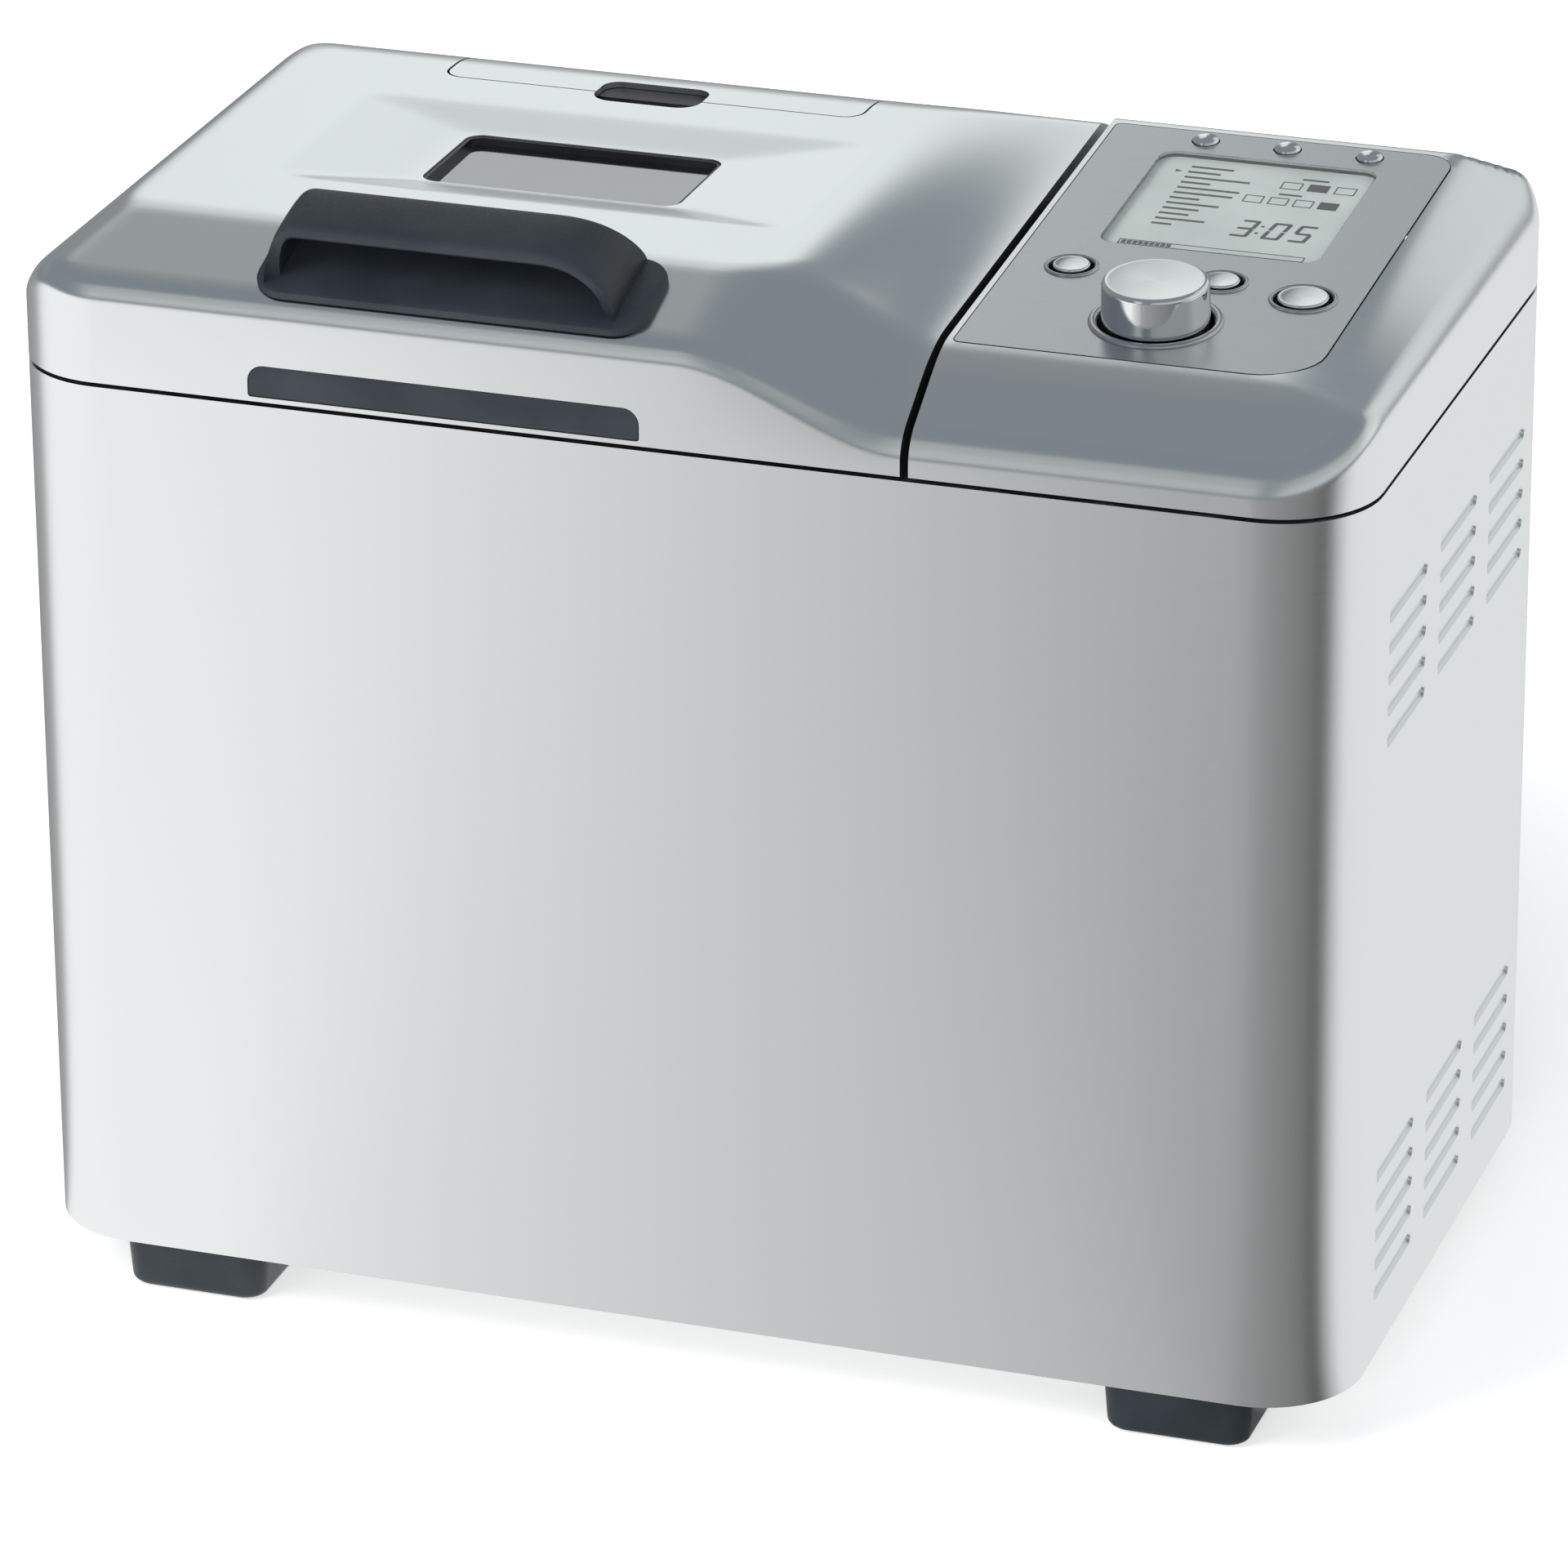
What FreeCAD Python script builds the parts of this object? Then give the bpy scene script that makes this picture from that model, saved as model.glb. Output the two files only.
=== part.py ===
import FreeCAD, Part
import math
import os
import re
import Sketcher

# A countertop bread machine in millimetres: +X right, +Y to the back, +Z up, and the origin on the
# table under the middle of the casing. The lid is closed and the pan is in its chamber.

Vector = FreeCAD.Vector
Rotation = FreeCAD.Rotation
Placement = FreeCAD.Placement

SIZES = {
    # casing
    "width": "410",
    "depth": "240",
    "foot_height": "17",
    "foot_side": "46",
    "foot_inset_x": "27",
    "foot_inset_y": "3",
    "foot_round": "6",
    "body_height": "277",
    "front_corner": "30",
    "rear_corner": "36",
    "sheet": "1",
    "seat_gap": "0.2",
    "rear_opening_edge": "48",
    "rear_panel_lap": "8",
    "base_rise": "1",
    "base_plate": "2.5",
    "deck_height": "10",
    "deck_rim": "8",
    # pressed vents of the right side and of the rear panel
    "vent_length": "42",
    "vent_height": "3",
    "vent_pitch_y": "57",
    "vent_pitch_z": "9.6",
    "vent_first_y": "62",
    "vent_low_z": "21",
    "vent_top_drop": "41",
    "rear_vent_length": "40",
    "rear_vent_drop": "60",
    # cord gland
    "cord_hole": "7.5",
    "gland_collar": "20",
    "gland_neck": "13",
    "gland_rise": "40",
    "gland_from_right": "62",
    # screws
    "screw_shank": "4",
    "screw_head": "7.6",
    "screw_head_height": "2.6",
    "screw_length": "14",
    "screw_gap": "0.1",
    # outline of the lid and of the panel cover, heights above their lower edge
    "seam_gap": "2",
    "panel_width": "131.75",
    "split_gap": "2.5",
    "roof_wall": "1.8",
    "panel_wall": "9.5",
    "lid_wall": "30",
    "side_wall": "23",
    "panel_ridge": "28.2",
    "lid_ridge": "42.5",
    "roof_rear": "41",
    "panel_rear_ridge": "40.2",
    "rear_wall": "27",
    "panel_rear_wall": "20",
    "panel_slope_run": "31",
    "lid_slope_run": "38",
    "side_slope_run": "22.5",
    "rear_slope_run": "30",
    "rear_round": "50",
    "sweep_run": "67",
    "wall_round": "5",
    "ridge_round": "14",
    "lid_setback": "12.5",
    "lid_rear_corner": "32",
    # lid hinge
    "hinge_height": "9",
    "hinge_knuckle": "5.5",
    "hinge_pin": "4",
    "hinge_spread": "84",
    "bracket_width": "12",
    "ear_width": "6",
    "hinge_gap": "0.3",
    "running_gap": "0.05",
    # lid inside
    "liner_rise": "1",
    "liner_sheet": "1.2",
    "seal_width": "5",
    "seal_lift": "0.4",
    "seal_room": "3",
    # viewing window
    "window_length": "81",
    "window_depth": "44.5",
    "window_back": "7",
    "window_corner": "5",
    "dish_side": "29",
    "dish_rear": "18",
    "dish_drop": "5",
    "dish_corner": "22",
    "frame_wall": "5",
    "glass_ledge": "2",
    "glass": "3",
    "glass_drop": "3",
    # handle and front trim
    "handle_length": "120",
    "handle_from_left": "79",
    "handle_base_run": "34",
    "handle_base_start": "2.5",
    "handle_base": "2.5",
    "hood_inset": "6.5",
    "hood_rise": "19",
    "hood_lip": "10",
    "hood_back": "35",
    "hood_wall": "4",
    "hood_round": "11",
    "trim_height": "10.5",
    "trim": "2",
    "trim_corner": "4.5",
    # dispenser
    "hatch_length": "133",
    "hatch_from_left": "74",
    "hatch_rear_room": "15.5",
    "hatch_reach": "14",
    "hatch_depth": "36",
    "hatch_barrel": "2.3",
    "hatch_pin": "2",
    "hatch_gap": "0.5",
    "catch_drop": "0.25",
    "catch_overlap": "3",
    "hatch_corner": "6",
    "notch_length": "34",
    "notch_lid": "8",
    "notch_hatch": "11",
    "cup_depth": "8",
    "cup_wall": "1.2",
    "bin_inset": "6",
    "bin_front": "1.5",
    "bin_depth": "26.5",
    "bin_height": "26",
    "bin_wall": "1.2",
    "flap_plate": "1.5",
    "flap_barrel": "2.2",
    "flap_pin": "2",
    # control panel, along the panel from its front ridge and across from its left edge
    "panel_rear_run": "37",
    "fascia": "0.8",
    "fascia_margin": "2",
    "fascia_corner": "18",
    "dial_across": "54",
    "dial_along": "32",
    "dial": "31.6",
    "dial_height": "13",
    "dial_gap": "0.9",
    "dial_ring": "39",
    "dial_ring_height": "0.9",
    "dial_shaft": "6",
    "dial_bevel": "1.2",
    "well_wall": "1.2",
    "well_depth": "4.5",
    "first_button": "19.5",
    "button_pitch": "22.5",
    "button_row": "63",
    "button": "11",
    "start_from_first": "71",
    "start_row": "57.5",
    "start_button": "15",
    "button_ring": "2.6",
    "button_ring_height": "0.6",
    "button_gap": "0.35",
    "button_rise": "1",
    "button_dish": "0.5",
    "button_flange": "1.2",
    "button_travel": "0.8",
    "dome_first": "31.5",
    "dome_pitch": "25.3",
    "dome_from_rear": "10.7",
    "dome": "8",
    "display_across": "21.5",
    "display_length": "66",
    "display_from_buttons": "19.5",
    "display_from_domes": "9.5",
    "display_corner": "5",
    "display_ledge": "2",
    "board_drop": "11",
    "board": "1.6",
    "board_margin": "14",
    "board_rear_margin": "6",
    "switch_side": "6",
    "switch_height": "3.2",
    "encoder_side": "12",
    "encoder_height": "4",
    "stem": "4",
    "stud": "4",
    "post": "6",
    # chassis and drive
    "chassis_height": "43.5",
    "chassis_sheet": "1.6",
    "chassis_room_x": "14",
    "chassis_room_y": "22",
    "standoff": "11",
    "standoff_size": "10",
    "shaft": "8",
    "drive_pulley": "110",
    "motor_pulley": "22",
    "pulley_rise": "12",
    "pulley_width": "14",
    "pulley_flange": "2",
    "belt_thickness": "2.5",
    "belt_gap": "0.3",
    "housing_tube": "13",
    "housing_flange": "24",
    "housing_flange_height": "3",
    "motor_from_split": "52",
    "motor_size": "84",
    "motor_length": "95",
    "motor_pilot": "13",
    "motor_bevel": "7",
    "capacitor_size": "36",
    "capacitor_length": "60",
    "capacitor_room": "8",
    "power_board_length": "100",
    "power_board_depth": "44",
    "transformer": "28",
    "power_post": "8",
    # chamber and pan
    "chamber_room_x": "19.5",
    "chamber_room_y": "34",
    "chamber_wall": "1",
    "chamber_corner": "18",
    "chamber_flange": "7",
    "element_tube": "6.6",
    "element_room": "7",
    "element_rise": "25",
    "element_corner": "22",
    "element_legs": "14",
    "element_tail": "12",
    "bushing": "12",
    "bushing_reach": "4",
    "bushing_lip": "2",
    "sensor": "5",
    "sensor_length": "30",
    "sensor_rise": "60",
    "socket_outer": "100",
    "socket_inner": "84",
    "socket_height": "13",
    "pan_gap": "0.3",
    "pan_room_x": "13",
    "pan_room_y": "15",
    "pan_drop": "32",
    "pan_draft": "7",
    "pan_wall": "1.6",
    "pan_corner": "24",
    "pan_rim": "4",
    "pan_skirt": "2",
    "bail_wire": "5",
    "bail_boss": "9",
    "bail_gap": "1",
    "bush_outer": "14",
    "bush_height": "10",
    "bush_flange": "1.5",
    "wing_length": "26",
    "wing_side": "6",
    "wing_gap": "0.3",
    "dog_plate": "4",
    "dog_size": "30",
    "dog_prong": "7",
    "paddle_hub": "18",
    "paddle_height": "30",
    "paddle_length": "50",
    "paddle_blade": "5",
}

# Places that several pieces share, worked out from the sizes.
PLACES = {
    "left": "-width/2",
    "right": "width/2",
    "front": "-depth/2",
    "back": "depth/2",
    "seam": "foot_height + body_height",
    "roof_bottom": "seam + seam_gap",
    "split": "right - panel_width",
    "lid_right": "split - split_gap/2",
    "panel_left": "split + split_gap/2",
    "lid_mid": "(left + lid_right)/2",
    "lid_back": "back - lid_setback",
    "base_top": "foot_height + base_rise + base_plate",
    "chassis_top": "base_top + chassis_height",
    "chamber_floor": "chassis_top + standoff",
    "chamber_top": "seam - deck_height",
    "chamber_x": "(lid_right - left)/2 - chamber_room_x",
    "chamber_y": "depth/2 - chamber_room_y",
    "socket_top": "chamber_floor + chamber_wall + socket_height",
    "pan_bottom": "socket_top + pan_gap",
    "pan_top": "chamber_top - pan_drop",
    "pan_x": "chamber_x - chamber_wall - pan_room_x",
    "pan_y": "chamber_y - chamber_wall - pan_room_y",
    "motor_x": "split + motor_from_split",
    "pulley_low": "base_top + pulley_rise",
    "pulley_high": "pulley_low + pulley_width",
    "hinge_y": "back - hinge_knuckle",
    "hinge_z": "seam + hinge_height",
    "liner_low": "roof_bottom + liner_rise",
    "liner_top": "liner_low + liner_sheet",
    "window_x": "lid_mid",
    "window_y": "-window_back",
    "plateau": "roof_bottom + lid_ridge - 0.5",
    "glass_top": "plateau - dish_drop - glass_drop",
    "panel_rear": "back - panel_rear_run",
    "hatch_x": "left + hatch_from_left",
    "hatch_axis_y": "lid_back - hatch_rear_room",
    "hatch_front": "hatch_axis_y - hatch_depth",
}

doc = FreeCAD.newDocument("BreadMachine")
sheet = doc.addObject("Spreadsheet::Sheet", "Sizes")
for row, (alias, value) in enumerate(SIZES.items(), start=1):
    sheet.set("A%d" % row, value)
    sheet.setAlias("A%d" % row, alias)
doc.recompute()


def bound(text):
    """The FreeCAD expression for a formula in the names above."""
    def swap(match):
        name = match.group()
        if name in PLACES:
            return "(" + bound(PLACES[name]) + ")"
        return "Sizes." + name
    return re.sub(r"[a-z][a-z_]+", swap, str(text))


def num(text):
    """The value of a formula in the names above."""
    return float(sheet.evalExpression(bound(text)))


parts = {}


def part(label, item):
    """Names a finished sub-part and keeps it for the export."""
    item.Label = label
    parts[label] = item
    return item


def bind(item, **formulas):
    """Binds properties of an object, written with __ for a dot, to formulas."""
    for name, formula in formulas.items():
        item.setExpression(name.replace("__", "."), bound(formula))
    return item


def block(name, x, y, z):
    """A Part box between two formulas on each axis."""
    item = doc.addObject("Part::Box", name)
    lows = dict(zip(("Placement__Base__x", "Placement__Base__y", "Placement__Base__z"), (x[0], y[0], z[0])))
    spans = ["(%s) - (%s)" % (high, low) for low, high in (x, y, z)]
    return bind(item, Length=spans[0], Width=spans[1], Height=spans[2], **lows)


AIMS = {
    "x": Rotation(Vector(0, 1, 0), 90),
    "y": Rotation(Vector(1, 0, 0), -90),
    "z": Rotation(),
}


def rod(name, radius, length, x, y, z, axis="z"):
    """A Part cylinder from a point along an axis."""
    item = doc.addObject("Part::Cylinder", name)
    item.Placement = Placement(Vector(), AIMS[axis])
    places = {"Placement__Base__x": x, "Placement__Base__y": y, "Placement__Base__z": z}
    return bind(item, Radius=radius, Height=length, **places)


def cut(name, base, *tools):
    """The base with each tool taken away."""
    for count, tool in enumerate(tools):
        item = doc.addObject("Part::Cut", "%s_cut%d" % (name, count))
        item.Base = base
        item.Tool = tool
        base = item
    return base


def join(name, *items):
    """Pieces made in one."""
    item = doc.addObject("Part::MultiFuse", name + "_join")
    item.Shapes = list(items)
    return item


def group(name, *items):
    """Separate solids that share a node."""
    item = doc.addObject("Part::Compound", name + "_group")
    item.Links = list(items)
    return item


def solid(name, shape, placement=None):
    """A Part::Feature for a form that primitives and sketches don't give."""
    item = doc.addObject("Part::Feature", name)
    item.Shape = shape
    if placement:
        item.Placement = placement
    return item


def sketch_on(body, name, role):
    """A sketch on one of the body's own origin planes."""
    sketch = body.newObject("Sketcher::SketchObject", name)
    plane = [item for item in body.Origin.OriginFeatures if item.Role == role][0]
    sketch.AttachmentSupport = [(plane, "")]
    sketch.MapMode = "FlatFace"
    return sketch


def polygon(sketch, points):
    """Lines through points whose two coordinates are bound to formulas."""
    values = [(num(x), num(y)) for x, y in points]
    for start, end in zip(values, values[1:] + values[:1]):
        sketch.addGeometry(Part.LineSegment(Vector(*start, 0), Vector(*end, 0)))
    for index in range(len(points)):
        sketch.addConstraint(Sketcher.Constraint("Coincident", index, 2, (index + 1) % len(points), 1))
    for index, (point, value) in enumerate(zip(points, values)):
        for kind, side in (("DistanceX", 0), ("DistanceY", 1)):
            made = sketch.addConstraint(Sketcher.Constraint(kind, -1, 1, index, 1, value[side]))
            sketch.setExpression("Constraints[%d]" % made, bound(point[side]))


def turned(name, points):
    """A PartDesign revolution about Z of a half section given as radius and height."""
    body = doc.addObject("PartDesign::Body", name)
    sketch = sketch_on(body, name + "_section", "XZ_Plane")
    polygon(sketch, points)
    turn = body.newObject("PartDesign::Revolution", name + "_turn")
    turn.Profile = sketch
    turn.ReferenceAxis = (sketch, ["V_Axis"])
    turn.Angle = 360
    return body


def slab(name, points, low, high, rounds=()):
    """A PartDesign pad of a plan outline, with chosen upright corners rounded."""
    body = doc.addObject("PartDesign::Body", name)
    sketch = sketch_on(body, name + "_plan", "XY_Plane")
    polygon(sketch, points)
    sketch.setExpression("AttachmentOffset.Base.z", bound(low))
    last = body.newObject("PartDesign::Pad", name + "_pad")
    last.Profile = sketch
    bind(last, Length="(%s) - (%s)" % (high, low))
    doc.recompute()
    for count, (corners, radius) in enumerate(rounds):
        targets = [(num(points[corner][0]), num(points[corner][1])) for corner in corners]
        edges = []
        for number, edge in enumerate(last.Shape.Edges, start=1):
            start, end = edge.Vertexes[0].Point, edge.Vertexes[-1].Point
            upright = math.hypot(end.x - start.x, end.y - start.y) < 1e-6
            if upright and any(math.hypot(start.x - x, start.y - y) < 1e-4 for x, y in targets):
                edges.append("Edge%d" % number)
        round_off = body.newObject("PartDesign::Fillet", "%s_round%d" % (name, count))
        round_off.Base = (last, edges)
        bind(round_off, Radius=radius)
        doc.recompute()
        last = round_off
    return body


def oblong(x, y):
    """The four corners of a plan rectangle, from front left and counterclockwise."""
    return [(x[0], y[0]), (x[1], y[0]), (x[1], y[1]), (x[0], y[1])]


def casing_slab(name, inset, low, high):
    """The casing's plan outline, drawn in by an inset."""
    corners = oblong(("left + " + inset, "right - " + inset), ("front + " + inset, "back - " + inset))
    rounds = [((0, 1), "front_corner - (%s)" % inset), ((2, 3), "rear_corner - (%s)" % inset)]
    return slab(name, corners, low, high, rounds)


def rounded_wire(points, radii, to_space):
    """A closed wire of lines and arcs through flat points, each with its own radius."""
    edges = []
    spots = []
    count = len(points)
    for index in range(count):
        here = Vector(*points[index], 0)
        before = Vector(*points[index - 1], 0) - here
        after = Vector(*points[(index + 1) % count], 0) - here
        if not radii[index]:
            spots.append((here, None, here))
            continue
        half = before.getAngle(after) / 2
        reach = radii[index] / math.tan(half)
        inward = (before.normalize() + after.normalize()).normalize()
        middle = here + inward * (radii[index] / math.sin(half) - radii[index])
        spots.append((here + before * reach, middle, here + after * reach))
    for index in range(count):
        start, middle, end = spots[index]
        if middle:
            edges.append(Part.Arc(to_space(start), to_space(middle), to_space(end)).toShape())
        edges.append(Part.makeLine(to_space(end), to_space(spots[(index + 1) % count][0])))
    return Part.Wire(edges)


def rounded_prism(x, y, radii, low, high):
    """An upright prism on a plan rectangle whose corners have their own radii."""
    wire = rounded_wire(oblong(x, y), radii, lambda spot: Vector(spot.x, spot.y, low))
    return Part.Face(wire).extrude(Vector(0, 0, high - low))


def slot(length, height, depth):
    """A stadium along Y, pushed through along X, centred on the origin."""
    half = length / 2 - height / 2
    corners = [(-half - height / 2, -height / 2), (half + height / 2, -height / 2)]
    corners += [(half + height / 2, height / 2), (-half - height / 2, height / 2)]
    radii = [height / 2 * 0.999] * 4
    wire = rounded_wire(corners, radii, lambda spot: Vector(-depth / 2, spot.x, spot.y))
    return Part.Face(wire).extrude(Vector(depth, 0, 0))


# Feet, base plate and casing


def foot(name, x, y):
    half = "foot_side/2"
    spans = [("%s - %s" % (middle, half), "%s + %s" % (middle, half)) for middle in (x, y)]
    plan = oblong(*spans)
    pad = slab(name + "_block", plan, "0", "foot_height + base_rise", [((0, 1, 2, 3), "foot_round")])
    base = pad.Tip
    edges = []
    for number, edge in enumerate(base.Shape.Edges, start=1):
        if max(vertex.Z for vertex in edge.Vertexes) < 1e-6:
            edges.append("Edge%d" % number)
    ease = pad.newObject("PartDesign::Fillet", name + "_ease")
    ease.Base = (base, edges)
    bind(ease, Radius="foot_round/2")
    pocket = rod(name + "_pocket", "screw_head/2 + 1", "foot_height/2", x, y, "0")
    hole = rod(name + "_hole", "screw_shank/2 + screw_gap", "foot_height + base_rise", x, y, "0")
    return part(name, cut(name, pad, pocket, hole))


foot_x = "(width/2 - foot_inset_x - foot_side/2)"
foot_y = "(depth/2 - foot_inset_y - foot_side/2)"
FEET = {
    "foot_front_left": ("-" + foot_x, "-" + foot_y),
    "foot_front_right": (foot_x, "-" + foot_y),
    "foot_rear_left": ("-" + foot_x, foot_y),
    "foot_rear_right": (foot_x, foot_y),
}
for foot_name, (foot_at_x, foot_at_y) in FEET.items():
    foot(foot_name, foot_at_x, foot_at_y)


def screw(name, low):
    """A pan-head screw about Z, its head below the given height of the clamped face."""
    return turned(name, [
        ("0", "%s - screw_head_height" % low), ("screw_head/2", "%s - screw_head_height" % low),
        ("screw_head/2", low), ("screw_shank/2", low),
        ("screw_shank/2", "%s + screw_length" % low), ("0", "%s + screw_length" % low),
    ])


foot_screws = []
for foot_name, (foot_at_x, foot_at_y) in FEET.items():
    foot_screw = screw(foot_name + "_screw", "foot_height/2")
    bind(foot_screw, Placement__Base__x=foot_at_x, Placement__Base__y=foot_at_y)
    foot_screws.append(foot_screw)
part("foot_screws", group("foot_screws", *foot_screws))

base_sheet = casing_slab("base_sheet", "(sheet + seat_gap)", "foot_height + base_rise", "base_top")
base_tools = []
for foot_name, (foot_at_x, foot_at_y) in FEET.items():
    hole_name = foot_name + "_base_hole"
    base_tools.append(rod(hole_name, "screw_shank/2 + screw_gap", "base_top", foot_at_x, foot_at_y, "0"))
base_vents = []
for count in range(7):
    vent_x = "motor_x + %d * vent_pitch_z" % (count - 3)
    across = ("%s - vent_height/2" % vent_x, "%s + vent_height/2" % vent_x)
    along = ("-vent_length", "vent_length")
    base_vents.append(block("base_vent%d" % count, across, along, ("0", "base_top + 1")))
base_tools.append(group("base_vents", *base_vents))
part("base_plate", cut("base_plate", base_sheet, *base_tools))

VENT_COLUMNS, VENT_ROWS = 3, 5
REAR_COLUMNS, REAR_ROWS = 4, 4
wrap_outer = casing_slab("wrap_outer", "0", "foot_height", "seam")
wrap_inner = casing_slab("wrap_inner", "sheet", "foot_height - 1", "seam + 1")
rear_span = ("left + rear_opening_edge", "right - rear_opening_edge")
wrap_height = ("foot_height - 1", "seam + 1")
rear_gap = block("wrap_rear_gap", rear_span, ("back - 2 * sheet", "back + 1"), wrap_height)
vents = []
vent_shape = slot(num("vent_length"), num("vent_height"), num("4 * sheet"))
upper_rows = num("seam - vent_top_drop") - (VENT_ROWS - 1) * num("vent_pitch_z")
for low_row in (num("foot_height + vent_low_z"), upper_rows):
    for column in range(VENT_COLUMNS):
        for row in range(VENT_ROWS):
            vent = vent_shape.copy()
            vent_y = num("front + vent_first_y") + column * num("vent_pitch_y")
            vent.translate(Vector(num("right"), vent_y, low_row + row * num("vent_pitch_z")))
            vents.append(vent)
side_vents = solid("side_vents", Part.makeCompound(vents))
part("body_wrap", cut("body_wrap", wrap_outer, wrap_inner, rear_gap, side_vents))

panel_span = ("left + rear_opening_edge - rear_panel_lap", "right - rear_opening_edge + rear_panel_lap")
panel_height = ("base_top", "seam - deck_height")
rear_sheet = block("rear_sheet", panel_span, ("back - 2 * sheet", "back - sheet"), panel_height)
rear_slots = []
rear_slot = slot(num("rear_vent_length"), num("vent_height"), num("4 * sheet"))
rear_slot.rotate(Vector(), Vector(0, 0, 1), 90)
for column in range(REAR_COLUMNS):
    for row in range(REAR_ROWS):
        vent = rear_slot.copy()
        vent_x = (column - (REAR_COLUMNS - 1) / 2) * num("vent_pitch_y")
        vent_z = num("seam - rear_vent_drop") - row * num("vent_pitch_z")
        vent.translate(Vector(vent_x, num("back - 1.5 * sheet"), vent_z))
        rear_slots.append(vent)
rear_vents = solid("rear_vents", Part.makeCompound(rear_slots))
gland_x, gland_z = "right - gland_from_right", "foot_height + gland_rise"
gland_way = "gland_neck/2 + seat_gap/2"
gland_hole = rod("gland_hole", gland_way, "4 * sheet", gland_x, "back - 3 * sheet", gland_z, "y")
part("rear_panel", cut("rear_panel", rear_sheet, rear_vents, gland_hole))

gland = turned("gland", [
    ("cord_hole/2", "-10 * sheet"), ("gland_neck/2", "-10 * sheet"), ("gland_neck/2", "-sheet"),
    ("gland_collar/2", "-sheet"), ("gland_collar/2", "0"), ("cord_hole/2", "0"),
])
gland.Placement = Placement(Vector(num(gland_x), num("back"), num(gland_z)), AIMS["y"])
part("cord_gland", gland)

# Top deck: the dark frame that closes the casing and carries the chamber, the lid and the panel

deck_plate = casing_slab("deck_plate", "(sheet + seat_gap)", "seam - deck_height", "seam")
oven_mouth = slab(
    "oven_mouth",
    oblong(("lid_mid - chamber_x + chamber_wall", "lid_mid + chamber_x - chamber_wall"),
           ("-chamber_y + chamber_wall", "chamber_y - chamber_wall")),
    "seam - deck_height - 1", "seam + 1", [((0, 1, 2, 3), "chamber_corner - chamber_wall")])
panel_mouth = slab(
    "panel_mouth",
    oblong(("panel_left + 2 * deck_rim", "right - 4 * deck_rim"),
           ("front + 6 * deck_rim", "back - 6 * deck_rim")),
    "seam - deck_height - 1", "seam + 1", [((0, 1, 2, 3), "deck_rim")])
part("top_deck", cut("top_deck", deck_plate, oven_mouth, panel_mouth))


# Roof forms shared by the lid and the panel cover


def mix(low, high, share):
    return low + (high - low) * share


def roof_section(x, rise, inset, bottom, rear, rear_run, rear_wall):
    """The roof's outline across X: rise 0 is the panel's low front, rise 1 the lid's raised front."""
    floor = num("roof_bottom") - inset
    ridge_y = num("front") + mix(num("panel_slope_run"), num("lid_slope_run"), rise)
    points = [
        (num("front") + inset, bottom),
        (num("front") + inset, floor + mix(num("panel_wall"), num("lid_wall"), rise)),
        (ridge_y, floor + mix(num("panel_ridge"), num("lid_ridge"), rise)),
        (rear - rear_run, floor + mix(num("panel_rear_ridge"), num("roof_rear"), rise)),
        (rear - inset, floor + rear_wall),
        (rear - inset, bottom),
    ]
    rear_round = mix(num("wall_round"), num("rear_round"), rise)
    radii = [0, num("wall_round"), num("ridge_round"), rear_round, num("wall_round"), 0]
    return rounded_wire(points, radii, lambda spot: Vector(x, spot.x, spot.y))


def side_band(wall_x, inward, inset, bottom, heights):
    """The sloping band along an outer side: its ridge height runs from the first to the second."""
    sections = []
    for y, ridge in zip((num("front") - 5, num("back") + 5), heights):
        floor = num("roof_bottom") - inset
        ridge_x = wall_x + inward * num("side_slope_run")
        far = wall_x + inward * num("width")
        sky = floor + 2 * num("lid_ridge")
        points = [(wall_x + inward * inset, bottom), (wall_x + inward * inset, floor + num("side_wall"))]
        points += [(ridge_x, floor + ridge), (ridge_x, sky), (far, sky), (far, bottom)]
        radii = [0, num("wall_round"), 0, 0, 0, 0]
        sections.append(rounded_wire(points, radii, lambda spot: Vector(spot.x, y, spot.y)))
    return Part.makeLoft(sections, True, True)


def smooth(share):
    return share * share * (3 - 2 * share)


SWEEP_SECTIONS = 7


def lid_solid(inset, bottom):
    """The lid's raised block, swept down at its right end to the height of the panel."""
    rear = num("lid_back")
    rear_form = (num("rear_slope_run"), num("rear_wall"))
    sweep_start = num("lid_right - sweep_run")
    raised = Part.Face(roof_section(num("left") - 5, 1, inset, bottom, rear, *rear_form))
    raised = raised.extrude(Vector(sweep_start - num("left") + 5, 0, 0))
    sections = []
    for count in range(SWEEP_SECTIONS):
        x = mix(sweep_start, num("lid_right") - inset, count / (SWEEP_SECTIONS - 1))
        rise = 1 - smooth((x - sweep_start) / num("sweep_run"))
        sections.append(roof_section(x, rise, inset, bottom, rear, *rear_form))
    roof = raised.fuse(Part.makeLoft(sections, True, False))
    band = side_band(num("left"), 1, inset, bottom, [num("lid_ridge") + 0.5] * 2)
    radii = [num("front_corner") - inset, 0, 0, num("lid_rear_corner") - inset]
    spans = ((num("left") + inset, num("lid_right") - inset), (num("front") + inset, rear - inset))
    plan = rounded_prism(spans[0], spans[1], radii, bottom, num("roof_bottom + 2 * lid_ridge"))
    return roof.common(plan).common(band)


panel_climb = num("panel_rear_ridge - panel_ridge") / num("panel_rear - front - panel_slope_run")


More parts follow.
